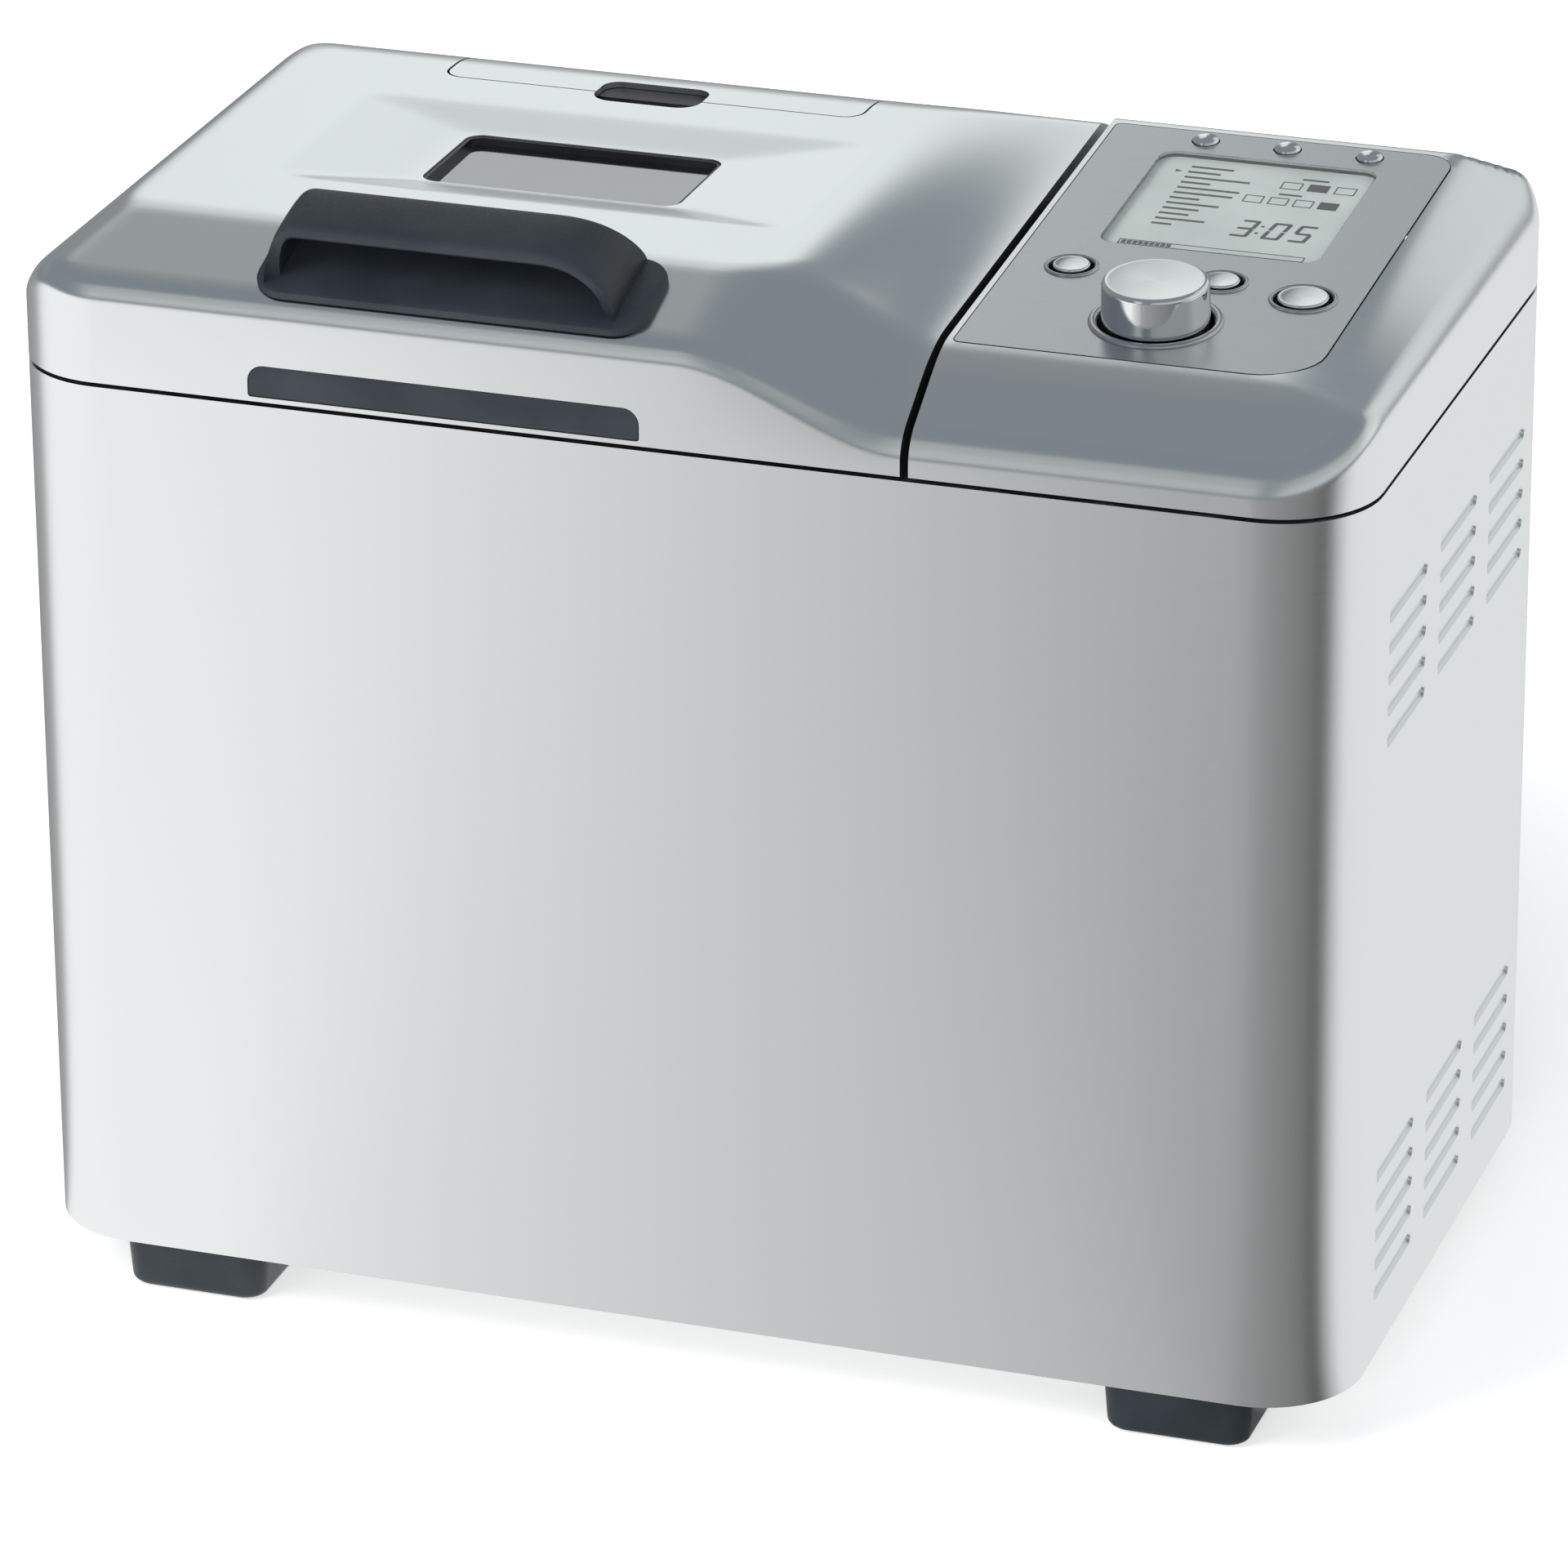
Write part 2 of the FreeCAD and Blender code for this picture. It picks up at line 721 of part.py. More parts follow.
def cover_solid(inset, bottom):
    """The panel cover's block: a low front, a gently climbing top and a band along the right."""
    rear_form = (num("panel_rear_run"), num("panel_rear_wall"))
    section = roof_section(num("panel_left") + inset, 0, inset, bottom, num("back"), *rear_form)
    roof = Part.Face(section).extrude(Vector(num("right - panel_left"), 0, 0))
    start = num("panel_ridge") - panel_climb * (num("panel_slope_run") + 5)
    end = num("panel_ridge") + panel_climb * (num("depth - panel_slope_run") + 5)
    band = side_band(num("right"), -1, inset, bottom, (start, end))
    radii = [0, num("front_corner") - inset, num("rear_corner") - inset, 0]
    spans = ((num("panel_left") + inset, num("right") - inset), (num("front") + inset, num("back") - inset))
    plan = rounded_prism(spans[0], spans[1], radii, bottom, num("roof_bottom + 2 * lid_ridge"))
    return roof.common(plan).common(band)


def window_prism(grow, low, high):
    """An upright prism on the window's outline, grown on every side."""
    half_x = num("window_length/2") + grow
    half_y = num("window_depth/2") + grow
    x, y = num("window_x"), num("window_y")
    radii = [num("window_corner") + grow] * 4
    return rounded_prism((x - half_x, x + half_x), (y - half_y, y + half_y), radii, low, high)


def dish(grow):
    """The shallow dish around the window, from its floor up past the lid's top."""
    sections = []
    drop = num("dish_drop")
    for height in (-drop, drop / 2):
        share = (height + drop) / drop
        half_x = num("window_length/2") + grow + share * num("dish_side")
        half_y = num("window_depth/2") + grow + share * num("dish_rear")
        x, y = num("window_x"), num("window_y")
        corners = oblong((x - half_x, x + half_x), (y - half_y, y + half_y))
        radius = mix(num("window_corner"), num("dish_corner"), share) + grow
        level = num("plateau") + height - grow
        sections.append(rounded_wire(corners, [radius] * 4, lambda spot: Vector(spot.x, spot.y, level)))
    return Part.makeLoft(sections, True, True)


# Lid shell, cut for the window, the hatch, the finger notch and the front trim, with its hinge ears

roof_wall = num("roof_wall")
lid_outer = lid_solid(0, num("roof_bottom")).cut(dish(0))
lid_inner = lid_solid(roof_wall, num("roof_bottom") - 5).cut(dish(roof_wall))
lid_full = lid_outer.cut(lid_inner)

hatch_low = num("plateau - hatch_reach")
hatch_high = num("plateau + hatch_reach")
hatch_x = (num("hatch_x"), num("hatch_x + hatch_length"))
hatch_y = (num("hatch_front"), num("hatch_axis_y"))
hatch_radii = [num("hatch_corner"), num("hatch_corner"), 0, 0]
hatch_plan = rounded_prism(hatch_x, hatch_y, hatch_radii, hatch_low, hatch_high)
gap = num("hatch_gap")
mouth_x = (hatch_x[0] - gap, hatch_x[1] + gap)
mouth_y = (hatch_y[0] - gap, hatch_y[1] + num("hatch_barrel") + gap)
mouth_radii = [num("hatch_corner") + gap, num("hatch_corner") + gap, 0, 0]
hatch_mouth = rounded_prism(mouth_x, mouth_y, mouth_radii, hatch_low, hatch_high)

rear_flat = (num("lid_back - rear_slope_run"), num("roof_bottom + roof_rear"))
front_flat = (num("front + lid_slope_run"), num("roof_bottom + lid_ridge"))
flat_slope = (rear_flat[1] - front_flat[1]) / (rear_flat[0] - front_flat[0])
rear_fall = num("roof_rear - rear_wall") / num("rear_slope_run")


def flat_top(y):
    """Height of the lid's top at a depth, on its flat and down its rear slope."""
    if y > rear_flat[0]:
        return rear_flat[1] - rear_fall * (y - rear_flat[0])
    return front_flat[1] + flat_slope * (y - front_flat[0])


notch_mid = sum(hatch_x) / 2
notch_x = (notch_mid - num("notch_length/2"), notch_mid + num("notch_length/2"))
notch_round = num("notch_lid") - 1
notch_y = (num("hatch_front - notch_lid"), num("hatch_front"))
lid_notch = rounded_prism(notch_x, notch_y, [notch_round, notch_round, 0, 0], hatch_low, hatch_high)


def trim_plate(grow, thickness):
    """The trim strip's outline on the front wall, from the lid's lower edge."""
    low = num("left + handle_from_left") - grow
    high = low + num("handle_length") + 2 * grow
    top = num("roof_bottom + trim_height") + grow
    bottom = num("roof_bottom")
    radius = num("trim_corner")
    corners = [(low, bottom), (high, bottom), (high, top), (low, top)]
    front = num("front")
    wire = rounded_wire(corners, [0, 0, radius, radius], lambda spot: Vector(spot.x, front, spot.y))
    return Part.Face(wire).extrude(Vector(0, thickness, 0))


hinge_y, hinge_z, knuckle = num("hinge_y"), num("hinge_z"), num("hinge_knuckle")
NECK_SHARE = 0.7
STEM_SHARE = 0.8


def hinge_rod(radius, low, high):
    """A round bar about the lid's hinge line."""
    return Part.makeCylinder(radius, high - low, Vector(low, hinge_y, hinge_z), Vector(1, 0, 0))


def ears():
    """Four ears on the lid's rear wall, one on each side of each bracket, bored for the pins."""
    made = []
    for middle in (num("lid_mid - hinge_spread"), num("lid_mid + hinge_spread")):
        near = num("bracket_width/2 + hinge_gap")
        far = near + num("ear_width")
        for low, high in ((middle - far, middle - near), (middle + near, middle + far)):
            wall = num("lid_back - roof_wall")
            corner = Vector(low, wall, hinge_z - NECK_SHARE * knuckle)
            neck = Part.makeBox(high - low, hinge_y - wall, 2 * NECK_SHARE * knuckle, corner)
            ear = hinge_rod(knuckle, low, high).fuse(neck)
            made.append(ear.cut(hinge_rod(num("hinge_pin/2 + running_gap"), low - 1, high + 1)))
    return made


hatch_sink = num("hatch_barrel") * math.hypot(1, rear_fall)
hatch_axis = (num("hatch_axis_y"), flat_top(num("hatch_axis_y")) - hatch_sink)


def hatch_rod(radius, low, high):
    """A round bar about the hatch's hinge line."""
    return Part.makeCylinder(radius, high - low, Vector(low, hatch_axis[0], hatch_axis[1]), Vector(1, 0, 0))


EAR_LONG = 4
pin_span = (mouth_x[0] - EAR_LONG, mouth_x[1] + EAR_LONG)
hatch_ears = []
for low, high in ((pin_span[0], mouth_x[0]), (mouth_x[1], pin_span[1])):
    reach = num("hatch_barrel") + 1
    root = flat_top(hatch_axis[0]) - roof_wall / 2 - hatch_axis[1]
    corner = Vector(low, hatch_axis[0] - reach, hatch_axis[1] - reach)
    ear = Part.makeBox(high - low, 2 * reach, reach + root, corner)
    hatch_ears.append(ear)

lid_shape = lid_full.cut(window_prism(0, num("glass_top"), num("plateau + 5")))
lid_shape = lid_shape.cut(hatch_mouth).cut(lid_notch).cut(trim_plate(num("seat_gap"), num("2 * trim")))
lid_shape = lid_shape.fuse(ears() + hatch_ears)
pin_room = (pin_span[0] - num("seat_gap"), pin_span[1] + num("seat_gap"))
lid_shape = lid_shape.cut(hatch_rod(num("hatch_pin/2 + running_gap"), *pin_room))
part("lid_shell", solid("lid_shell_form", lid_shape))
part("front_trim", solid("front_trim_form", trim_plate(0, num("trim"))))

# Hatch over the dispenser, its catch, pin and finger cup

hatch_shape = lid_full.common(hatch_plan)
notch_cut_y = (num("hatch_front") - 1, num("hatch_front + notch_hatch"))
bevel = num("notch_hatch/2")
notch_cut = rounded_prism(notch_x, notch_cut_y, [0, 0, bevel, bevel], hatch_low, hatch_high)
hatch_shape = hatch_shape.cut(notch_cut)
hatch_shape = hatch_shape.fuse(hatch_rod(num("hatch_barrel"), hatch_x[0], hatch_x[1]))
hatch_shape = hatch_shape.cut(hatch_rod(num("hatch_pin/2 + running_gap"), hatch_x[0] - 1, hatch_x[1] + 1))
part("dispenser_hatch", solid("dispenser_hatch_form", hatch_shape))
part("hatch_pin", solid("hatch_pin_form", hatch_rod(num("hatch_pin/2"), pin_span[0], pin_span[1])))

catch_top = flat_top(num("hatch_front + notch_hatch")) - roof_wall - num("catch_drop")
catch_y = (num("hatch_front + bin_front"), num("hatch_front + notch_hatch + catch_overlap"))
catch = rounded_prism((notch_x[0] - 3, notch_x[1] + 3), catch_y, [2] * 4, catch_top - 2, catch_top)
part("hatch_catch", solid("hatch_catch_form", catch))

cup_top = flat_top(notch_y[1]) - roof_wall - 0.05
cup_wall = num("cup_wall")
cup_low = cup_top - num("cup_depth")
cup_outer_x = (notch_x[0] - cup_wall, notch_x[1] + cup_wall)
cup_radii = [notch_round + cup_wall, notch_round + cup_wall, 0, 0]
cup = rounded_prism(cup_outer_x, (notch_y[0] - cup_wall, notch_y[1]), cup_radii, cup_low - cup_wall, cup_top)
hollow_radii = [notch_round, notch_round, 0, 0]
cup_hollow = rounded_prism(notch_x, (notch_y[0], notch_y[1] + 1), hollow_radii, cup_low, cup_top + 1)
part("finger_cup", solid("finger_cup_form", cup.cut(cup_hollow)))

# Dispenser bin in the lid, with the flap that drops its load into the pan

bin_x = (num("hatch_x + bin_inset"), num("hatch_x + hatch_length - bin_inset"))
bin_y = (num("hatch_front + bin_front"), num("hatch_front + bin_front + bin_depth"))
bin_low, bin_high = num("liner_low"), num("liner_low + bin_height")
bin_wall = num("bin_wall")
inner_x = (bin_x[0] + bin_wall, bin_x[1] - bin_wall)
inner_y = (bin_y[0] + bin_wall, bin_y[1] - bin_wall)
flap_axis = (inner_y[0] + gap + num("flap_barrel"), bin_low + num("seat_gap + flap_barrel"))


def flap_rod(radius, low, high):
    """A round bar about the flap's hinge line."""
    return Part.makeCylinder(radius, high - low, Vector(low, flap_axis[0], flap_axis[1]), Vector(1, 0, 0))


SQUARE = (0, 0, 0, 0)
BIN_LIP = 3
bin_shape = rounded_prism(bin_x, bin_y, SQUARE, bin_low, bin_high)
lip_x = (bin_x[0] - BIN_LIP, bin_x[1] + BIN_LIP)
lip_y = (bin_y[0] - BIN_LIP, bin_y[1] + BIN_LIP)
lip_low = num("liner_top")
bin_shape = bin_shape.fuse(rounded_prism(lip_x, lip_y, SQUARE, lip_low, lip_low + bin_wall))
bin_shape = bin_shape.cut(rounded_prism(inner_x, inner_y, SQUARE, bin_low - 1, bin_high + 1))
bin_shape = bin_shape.cut(flap_rod(num("flap_pin/2 + running_gap"), bin_x[0] - 1, bin_x[1] + 1))
part("dispenser_bin", solid("dispenser_bin_form", bin_shape))

flap_x = (inner_x[0] + gap, inner_x[1] - gap)
flap_low = bin_low + num("seat_gap")
flap_y = (flap_axis[0], inner_y[1] - gap)
flap_shape = rounded_prism(flap_x, flap_y, SQUARE, flap_low, flap_low + num("flap_plate"))
flap_shape = flap_shape.fuse(flap_rod(num("flap_barrel"), flap_x[0], flap_x[1]))
flap_shape = flap_shape.fuse(flap_rod(num("flap_pin/2"), bin_x[0], bin_x[1]))
part("dispenser_flap", solid("dispenser_flap_form", flap_shape))

# Lid liner, seal, window frame and panes

liner_inset = roof_wall + num("seat_gap")
liner_x = (num("left") + liner_inset, num("lid_right") - liner_inset)
liner_y = (num("front") + num("trim") + num("seat_gap"), num("lid_back") - liner_inset)
liner_radii = [num("front_corner") - liner_inset, 0, 0, num("lid_rear_corner") - liner_inset]
liner = rounded_prism(liner_x, liner_y, liner_radii, num("liner_low"), num("liner_top"))
frame_wall = num("frame_wall")
liner = liner.cut(window_prism(0, num("liner_low") - 1, num("liner_top") + 1))
bin_hole_x = (bin_x[0] - num("seat_gap"), bin_x[1] + num("seat_gap"))
bin_hole_y = (bin_y[0] - num("seat_gap"), bin_y[1] + num("seat_gap"))
liner = liner.cut(rounded_prism(bin_hole_x, bin_hole_y, SQUARE, num("liner_low") - 1, num("liner_top") + 1))
part("lid_liner", solid("lid_liner_form", liner))


def mouth_prism(grow, low, high):
    """An upright prism on the baking chamber's outline, grown on every side."""
    half_x = num("chamber_x") + grow
    half_y = num("chamber_y") + grow
    middle = num("lid_mid")
    radii = [num("chamber_corner") + grow] * 4
    return rounded_prism((middle - half_x, middle + half_x), (-half_y, half_y), radii, low, high)


seal_low, seal_high = num("seam + seal_lift"), num("liner_low")
seal = mouth_prism(num("seal_room + seal_width"), seal_low, seal_high)
seal = seal.cut(mouth_prism(num("seal_room"), seal_low - 1, seal_high + 1))
part("lid_seal", solid("lid_seal_form", seal))

frame_low = num("liner_top")
frame_high = num("plateau - dish_drop - roof_wall")
ledge = num("glass_ledge")
frame = window_prism(frame_wall, frame_low, frame_high)
frame = frame.cut(window_prism(0, frame_low - 1, frame_high + 1))
pane_low = num("glass_top - glass")
frame = frame.cut(window_prism(ledge + num("seat_gap"), pane_low - num("seat_gap"), frame_high + 1))
inner_pane_high = frame_low + num("glass")
frame = frame.cut(window_prism(ledge + num("seat_gap"), frame_low - 1, inner_pane_high + num("seat_gap")))
part("window_frame", solid("window_frame_form", frame))
part("window_glass", solid("window_glass_form", window_prism(ledge, pane_low, num("glass_top"))))
part("window_inner_glass", solid("window_inner_glass_form", window_prism(ledge, frame_low, inner_pane_high)))

# Handle: a base plate on the lid's front slope under a hood that is open to the front

slope_angle = math.degrees(math.atan2(num("lid_ridge - lid_wall"), num("lid_slope_run")))
slope_foot = Vector(num("left + handle_from_left"), num("front"), num("roof_bottom + lid_wall"))
on_slope = Placement(slope_foot, Rotation(Vector(1, 0, 0), slope_angle))
handle_length = num("handle_length")
base_start = num("handle_base_start")
base_end = base_start + num("handle_base_run")
hood_wall = num("hood_wall")
hood_x = (num("hood_inset"), handle_length - num("hood_inset"))
hood_y = (num("hood_lip"), num("hood_back"))
hood_top = num("hood_rise")


def hood_block(x, y, top, radius, low):
    """A bar along Y whose two upper edges along the bar are rounded."""
    corners = [(x[0], low), (x[1], low), (x[1], top), (x[0], top)]
    wire = rounded_wire(corners, [0, 0, radius, radius], lambda spot: Vector(spot.x, y[0], spot.y))
    return Part.Face(wire).extrude(Vector(0, y[1] - y[0], 0))


base = rounded_prism((0, handle_length), (base_start, base_end), [10] * 4, 0, num("handle_base"))
hood = hood_block(hood_x, hood_y, hood_top, num("hood_round"), 0)
rear_edges = [edge for edge in hood.Edges if edge.BoundBox.YMin > hood_y[1] - 1e-6 and edge.BoundBox.ZMax > 1]
hood = hood.makeFillet(num("hood_wall") * 1.5, rear_edges)
hollow_x = (hood_x[0] + hood_wall, hood_x[1] - hood_wall)
hollow_y = (hood_y[0] - 5, hood_y[1] - hood_wall * 1.2)
hollow_round = num("hood_round") - hood_wall
hollow = hood_block(hollow_x, hollow_y, hood_top - hood_wall, hollow_round, num("handle_base"))
handle = base.fuse(hood).cut(hollow)
part("lid_handle", solid("lid_handle_form", handle, on_slope))

# Hinge brackets on the deck, with their pins

brackets = []
hinge_pins = []
for side in (-1, 1):
    middle = num("lid_mid") + side * num("hinge_spread")
    half = num("bracket_width/2")
    stem_corner = Vector(middle - half, hinge_y - STEM_SHARE * knuckle, num("seam"))
    stem = Part.makeBox(2 * half, 2 * STEM_SHARE * knuckle, num("hinge_height"), stem_corner)
    bracket = hinge_rod(knuckle, middle - half, middle + half).fuse(stem)
    bore = hinge_rod(num("hinge_pin/2 + running_gap"), middle - half - 1, middle + half + 1)
    brackets.append(bracket.cut(bore))
    reach = num("bracket_width/2 + hinge_gap + ear_width")
    hinge_pins.append(hinge_rod(num("hinge_pin/2"), middle - reach, middle + reach))
part("hinge_brackets", solid("hinge_brackets_form", Part.makeCompound(brackets)))
part("hinge_pins", solid("hinge_pins_form", Part.makeCompound(hinge_pins)))

# Control panel: pieces drawn flat, across from the cover's left edge and along from its front ridge,
# with heights from its outer face, then laid on the climbing top

tilt = math.degrees(math.atan(panel_climb))
on_panel = Placement(
    Vector(num("panel_left"), num("front + panel_slope_run"), num("roof_bottom + panel_ridge")),
    Rotation(Vector(1, 0, 0), tilt))
panel_length = num("panel_rear - front - panel_slope_run") / math.cos(math.radians(tilt))
panel_across = num("right - side_slope_run - panel_left")
fascia = num("fascia")
THROUGH = (-10, 10)


def laid(shape):
    """A flat-drawn shape moved onto the panel."""
    return shape.transformed(on_panel.toMatrix())


def on_spot(spot):
    """The panel's placement at one of its controls."""
    return on_panel.multiply(Placement(Vector(spot[0], spot[1], 0), Rotation()))


def disc(spot, radius, low, high):
    """A flat-drawn round slug."""
    return Part.makeCylinder(radius, high - low, Vector(spot[0], spot[1], low))


def chip(spot, side, low, high):
    """A flat-drawn square slug."""
    corner = Vector(spot[0] - side / 2, spot[1] - side / 2, low)
    return Part.makeBox(side, side, high - low, corner)


first_x, row_y, pitch = num("first_button"), num("button_row"), num("button_pitch")
BUTTONS = {
    "delay_button": ((first_x, row_y), "button"),
    "modify_button": ((first_x + pitch, row_y), "button"),
    "cancel_button": ((first_x + 2 * pitch, row_y), "button"),
    "start_button": ((first_x + num("start_from_first"), num("start_row")), "start_button"),
}
dome_y = panel_length - num("dome_from_rear")
DOMES = {}
for count, side in enumerate(("left", "middle", "right")):
    dome_x = num("dome_first") + count * num("dome_pitch")
    DOMES["option_button_" + side] = ((dome_x, dome_y), "dome")
CONTROLS = {**BUTTONS, **DOMES}
dial_spot = (num("dial_across"), num("dial_along"))
display_x = (num("display_across"), num("display_across + display_length"))
display_y = (row_y + num("display_from_buttons"), dome_y - num("display_from_domes"))


def display_prism(grow, low, high):
    """The display's outline, grown on every side."""
    radii = [num("display_corner") + grow] * 4
    spans = [(span[0] - grow, span[1] + grow) for span in (display_x, display_y)]
    return rounded_prism(spans[0], spans[1], radii, low, high)


def fascia_prism(grow, low, high):
    """The fascia's outline, grown on every side."""
    margin = num("fascia_margin")
    across = (margin - grow, panel_across - margin / 2 + grow)
    along = (2 * margin - grow, panel_length - 2 * margin + grow)
    corner = num("fascia_corner")
    return rounded_prism(across, along, [margin, corner, corner / 2, margin], low, high)


fascia_shape = fascia_prism(0, -fascia, 0).cut(display_prism(num("seat_gap"), *THROUGH))
fascia_shape = fascia_shape.cut(disc(dial_spot, num("dial/2 + dial_gap"), *THROUGH))
for spot, size in CONTROLS.values():
    fascia_shape = fascia_shape.cut(disc(spot, num(size) / 2 + num("button_ring/2 - seat_gap"), *THROUGH))
part("fascia_plate", solid("fascia_form", laid(fascia_shape)))
part("display_lens", solid("lens_form", laid(display_prism(0, -fascia, 0))))

# Panel cover: a shell on posts, with the dial's well and the studs of the control board

cover_outer = cover_solid(0, num("roof_bottom"))
cover_shape = cover_outer.cut(cover_solid(roof_wall, num("roof_bottom") - 5))
post = num("post/2")
for post_x in (num("panel_left + deck_rim"), num("right - side_slope_run") - post):
    for post_y in (num("front + 5 * deck_rim") - post, num("back - 5 * deck_rim") + post):
        lower = Part.makeCylinder(post, num("seam_gap"), Vector(post_x, post_y, num("seam")))
        upper = Part.makeCylinder(post, num("2 * lid_ridge"), Vector(post_x, post_y, num("roof_bottom")))
        cover_shape = cover_shape.fuse([lower, upper.common(cover_outer)])
board_x = (num("board_margin"), panel_across - num("board_margin"))
board_y = (num("board_margin"), panel_length - num("board_rear_margin"))
board_top = -num("board_drop")
stud = num("stud/2")
for stud_x in (board_x[0] + 1.5 * stud, board_x[1] - 1.5 * stud):
    for stud_y in (board_y[0] + 1.5 * stud, board_y[1] - 1.5 * stud):
        cover_shape = cover_shape.fuse(laid(disc((stud_x, stud_y), stud, board_top, -fascia)))
well_radius = num("dial/2 + dial_gap")
well_low = -num("roof_wall + well_depth")
well = disc(dial_spot, well_radius + num("well_wall"), well_low, -fascia)
cover_shape = cover_shape.fuse(laid(well))
cover_shape = cover_shape.cut(laid(disc(dial_spot, well_radius, well_low + num("well_wall"), THROUGH[1])))
cover_shape = cover_shape.cut(laid(disc(dial_spot, num("dial_shaft/2") + 1, *THROUGH)))
cover_shape = cover_shape.cut(laid(fascia_prism(num("seat_gap"), -fascia, THROUGH[1])))
cover_shape = cover_shape.cut(laid(display_prism(-num("display_ledge"), *THROUGH)))
for spot, size in CONTROLS.values():
    cover_shape = cover_shape.cut(laid(disc(spot, num(size) / 2 + num("button_gap"), *THROUGH)))
part("panel_cover", solid("panel_cover_form", cover_shape))

# Push buttons: each cap on a flange under the cover and on a stem above its own switch


def push_button(name, spot, size, crown, edge):
    """A turned button whose middle stands above its edge by the crown, or lies below it."""
    radius = size + "/2"
    flange = radius + " + button_flange"
    flange_top = "-roof_wall - button_gap"
    flange_low = flange_top + " - button_flange"
    foot_at = "-board_drop + switch_height + button_travel + seat_gap/2"
    cap = turned(name + "_cap", [
        ("0", foot_at), ("stem/2", foot_at), ("stem/2", flange_low), (flange, flange_low),
        (flange, flange_top), (radius, flange_top), (radius, "button_rise - " + edge),
        ("%s - %s" % (radius, edge), "button_rise"), ("0", "button_rise + " + crown),
    ])
    cap.Placement = on_spot(spot)
    part(name, cap)


for name, (spot, size) in BUTTONS.items():
    push_button(name, spot, size, "-1 * button_dish", "button_dish")
for name, (spot, size) in DOMES.items():
    push_button(name, spot, size, "2 * button_dish", "2 * button_dish")

rings = []
for name, (spot, size) in BUTTONS.items():
    inner, outer = size + "/2 + button_ring/2", size + "/2 + button_ring"
    top = "button_ring_height"
    ring = turned(name + "_ring", [(inner, "0"), (outer, "0"), (outer, top), (inner, top)])
    ring.Placement = on_spot(spot)
    rings.append(ring)
dial_ring = turned("dial_ring", [
    ("dial/2 + dial_gap", "0"), ("dial_ring/2", "0"), ("dial_ring/2", "dial_ring_height/2"),
    ("dial_ring/2 - dial_ring_height", "dial_ring_height"), ("dial/2 + dial_gap", "dial_ring_height"),
])
dial_ring.Placement = on_spot(dial_spot)
part("control_rings", group("control_rings", dial_ring, *rings))

# Selection dial: a knob with its spindle, which runs in the encoder on the control board

dial_low = "-roof_wall - well_depth + well_wall + dial_gap/2"
spindle_low = "-board_drop + encoder_height/2"
dial_knob = turned("dial_knob", [
    ("0", spindle_low), ("dial_shaft/2", spindle_low), ("dial_shaft/2", dial_low), ("dial/2", dial_low),
    ("dial/2", "dial_height - dial_bevel"), ("dial/2 - dial_bevel", "dial_height"), ("0", "dial_height"),
])
dial_knob.Placement = on_spot(dial_spot)
part("selection_dial", dial_knob)

encoder = chip(dial_spot, num("encoder_side"), board_top, board_top + num("encoder_height"))
encoder_floor = num(spindle_low + " - button_gap")
encoder_bore = disc(dial_spot, num("dial_shaft/2 + running_gap"), encoder_floor, THROUGH[1])
switches = [laid(encoder.cut(encoder_bore))]
for spot, size in CONTROLS.values():
    switches.append(laid(chip(spot, num("switch_side"), board_top, board_top + num("switch_height"))))
part("panel_switches", solid("panel_switches_form", Part.makeCompound(switches)))
board = rounded_prism(board_x, board_y, [stud] * 4, board_top - num("board"), board_top)
part("control_board", solid("control_board_form", laid(board)))
module = display_prism(1, board_top, -num("roof_wall + button_gap"))
part("display_module", solid("display_module_form", laid(module)))

# Chassis over the base, with the standoffs of the chamber and the posts of the power board

chassis_x = ("left + chassis_room_x", "right - chassis_room_x")
chassis_y = ("front + chassis_room_y", "back - chassis_room_y")
void_y = ("front + chassis_room_y + chassis_sheet", "back - chassis_room_y - chassis_sheet")
chassis_box = block("chassis_box", chassis_x, chassis_y, ("base_top", "chassis_top"))
void_z = ("base_top - 1", "chassis_top - chassis_sheet")
chassis_void = block("chassis_void", ("left", "right"), void_y, void_z)
spindle_hole = rod("spindle_hole", "housing_tube + seat_gap", "chassis_top", "lid_mid", "0", "0")
motor_hole = rod("motor_hole", "motor_pilot + seat_gap", "chassis_top + 1", "motor_x", "0", "0")
chassis_sheet = cut("chassis", chassis_box, chassis_void, spindle_hole, motor_hole)
risers = []
standoff_x = "(chamber_x - 2 * chamber_corner)"
standoff_y = "(chamber_y - chamber_corner)"
for riser_x in ("lid_mid - " + standoff_x, "lid_mid + " + standoff_x):
    for riser_y in ("-" + standoff_y, standoff_y):
        name = "standoff%d" % len(risers)
        risers.append(rod(name, "standoff_size/2", "standoff", riser_x, riser_y, "chassis_top"))
power_x = ("motor_x - power_board_length/2", "motor_x + power_board_length/2")
power_y = ("back - chassis_room_y - power_board_depth - post", "back - chassis_room_y - post")
for riser_x in (power_x[0] + " + post", power_x[1] + " - post"):
    for riser_y in (power_y[0] + " + post", power_y[1] + " - post"):
        name = "power_post%d" % len(risers)
        risers.append(rod(name, "post/2", "power_post", riser_x, riser_y, "chassis_top"))
part("chassis", join("chassis", chassis_sheet, *risers))

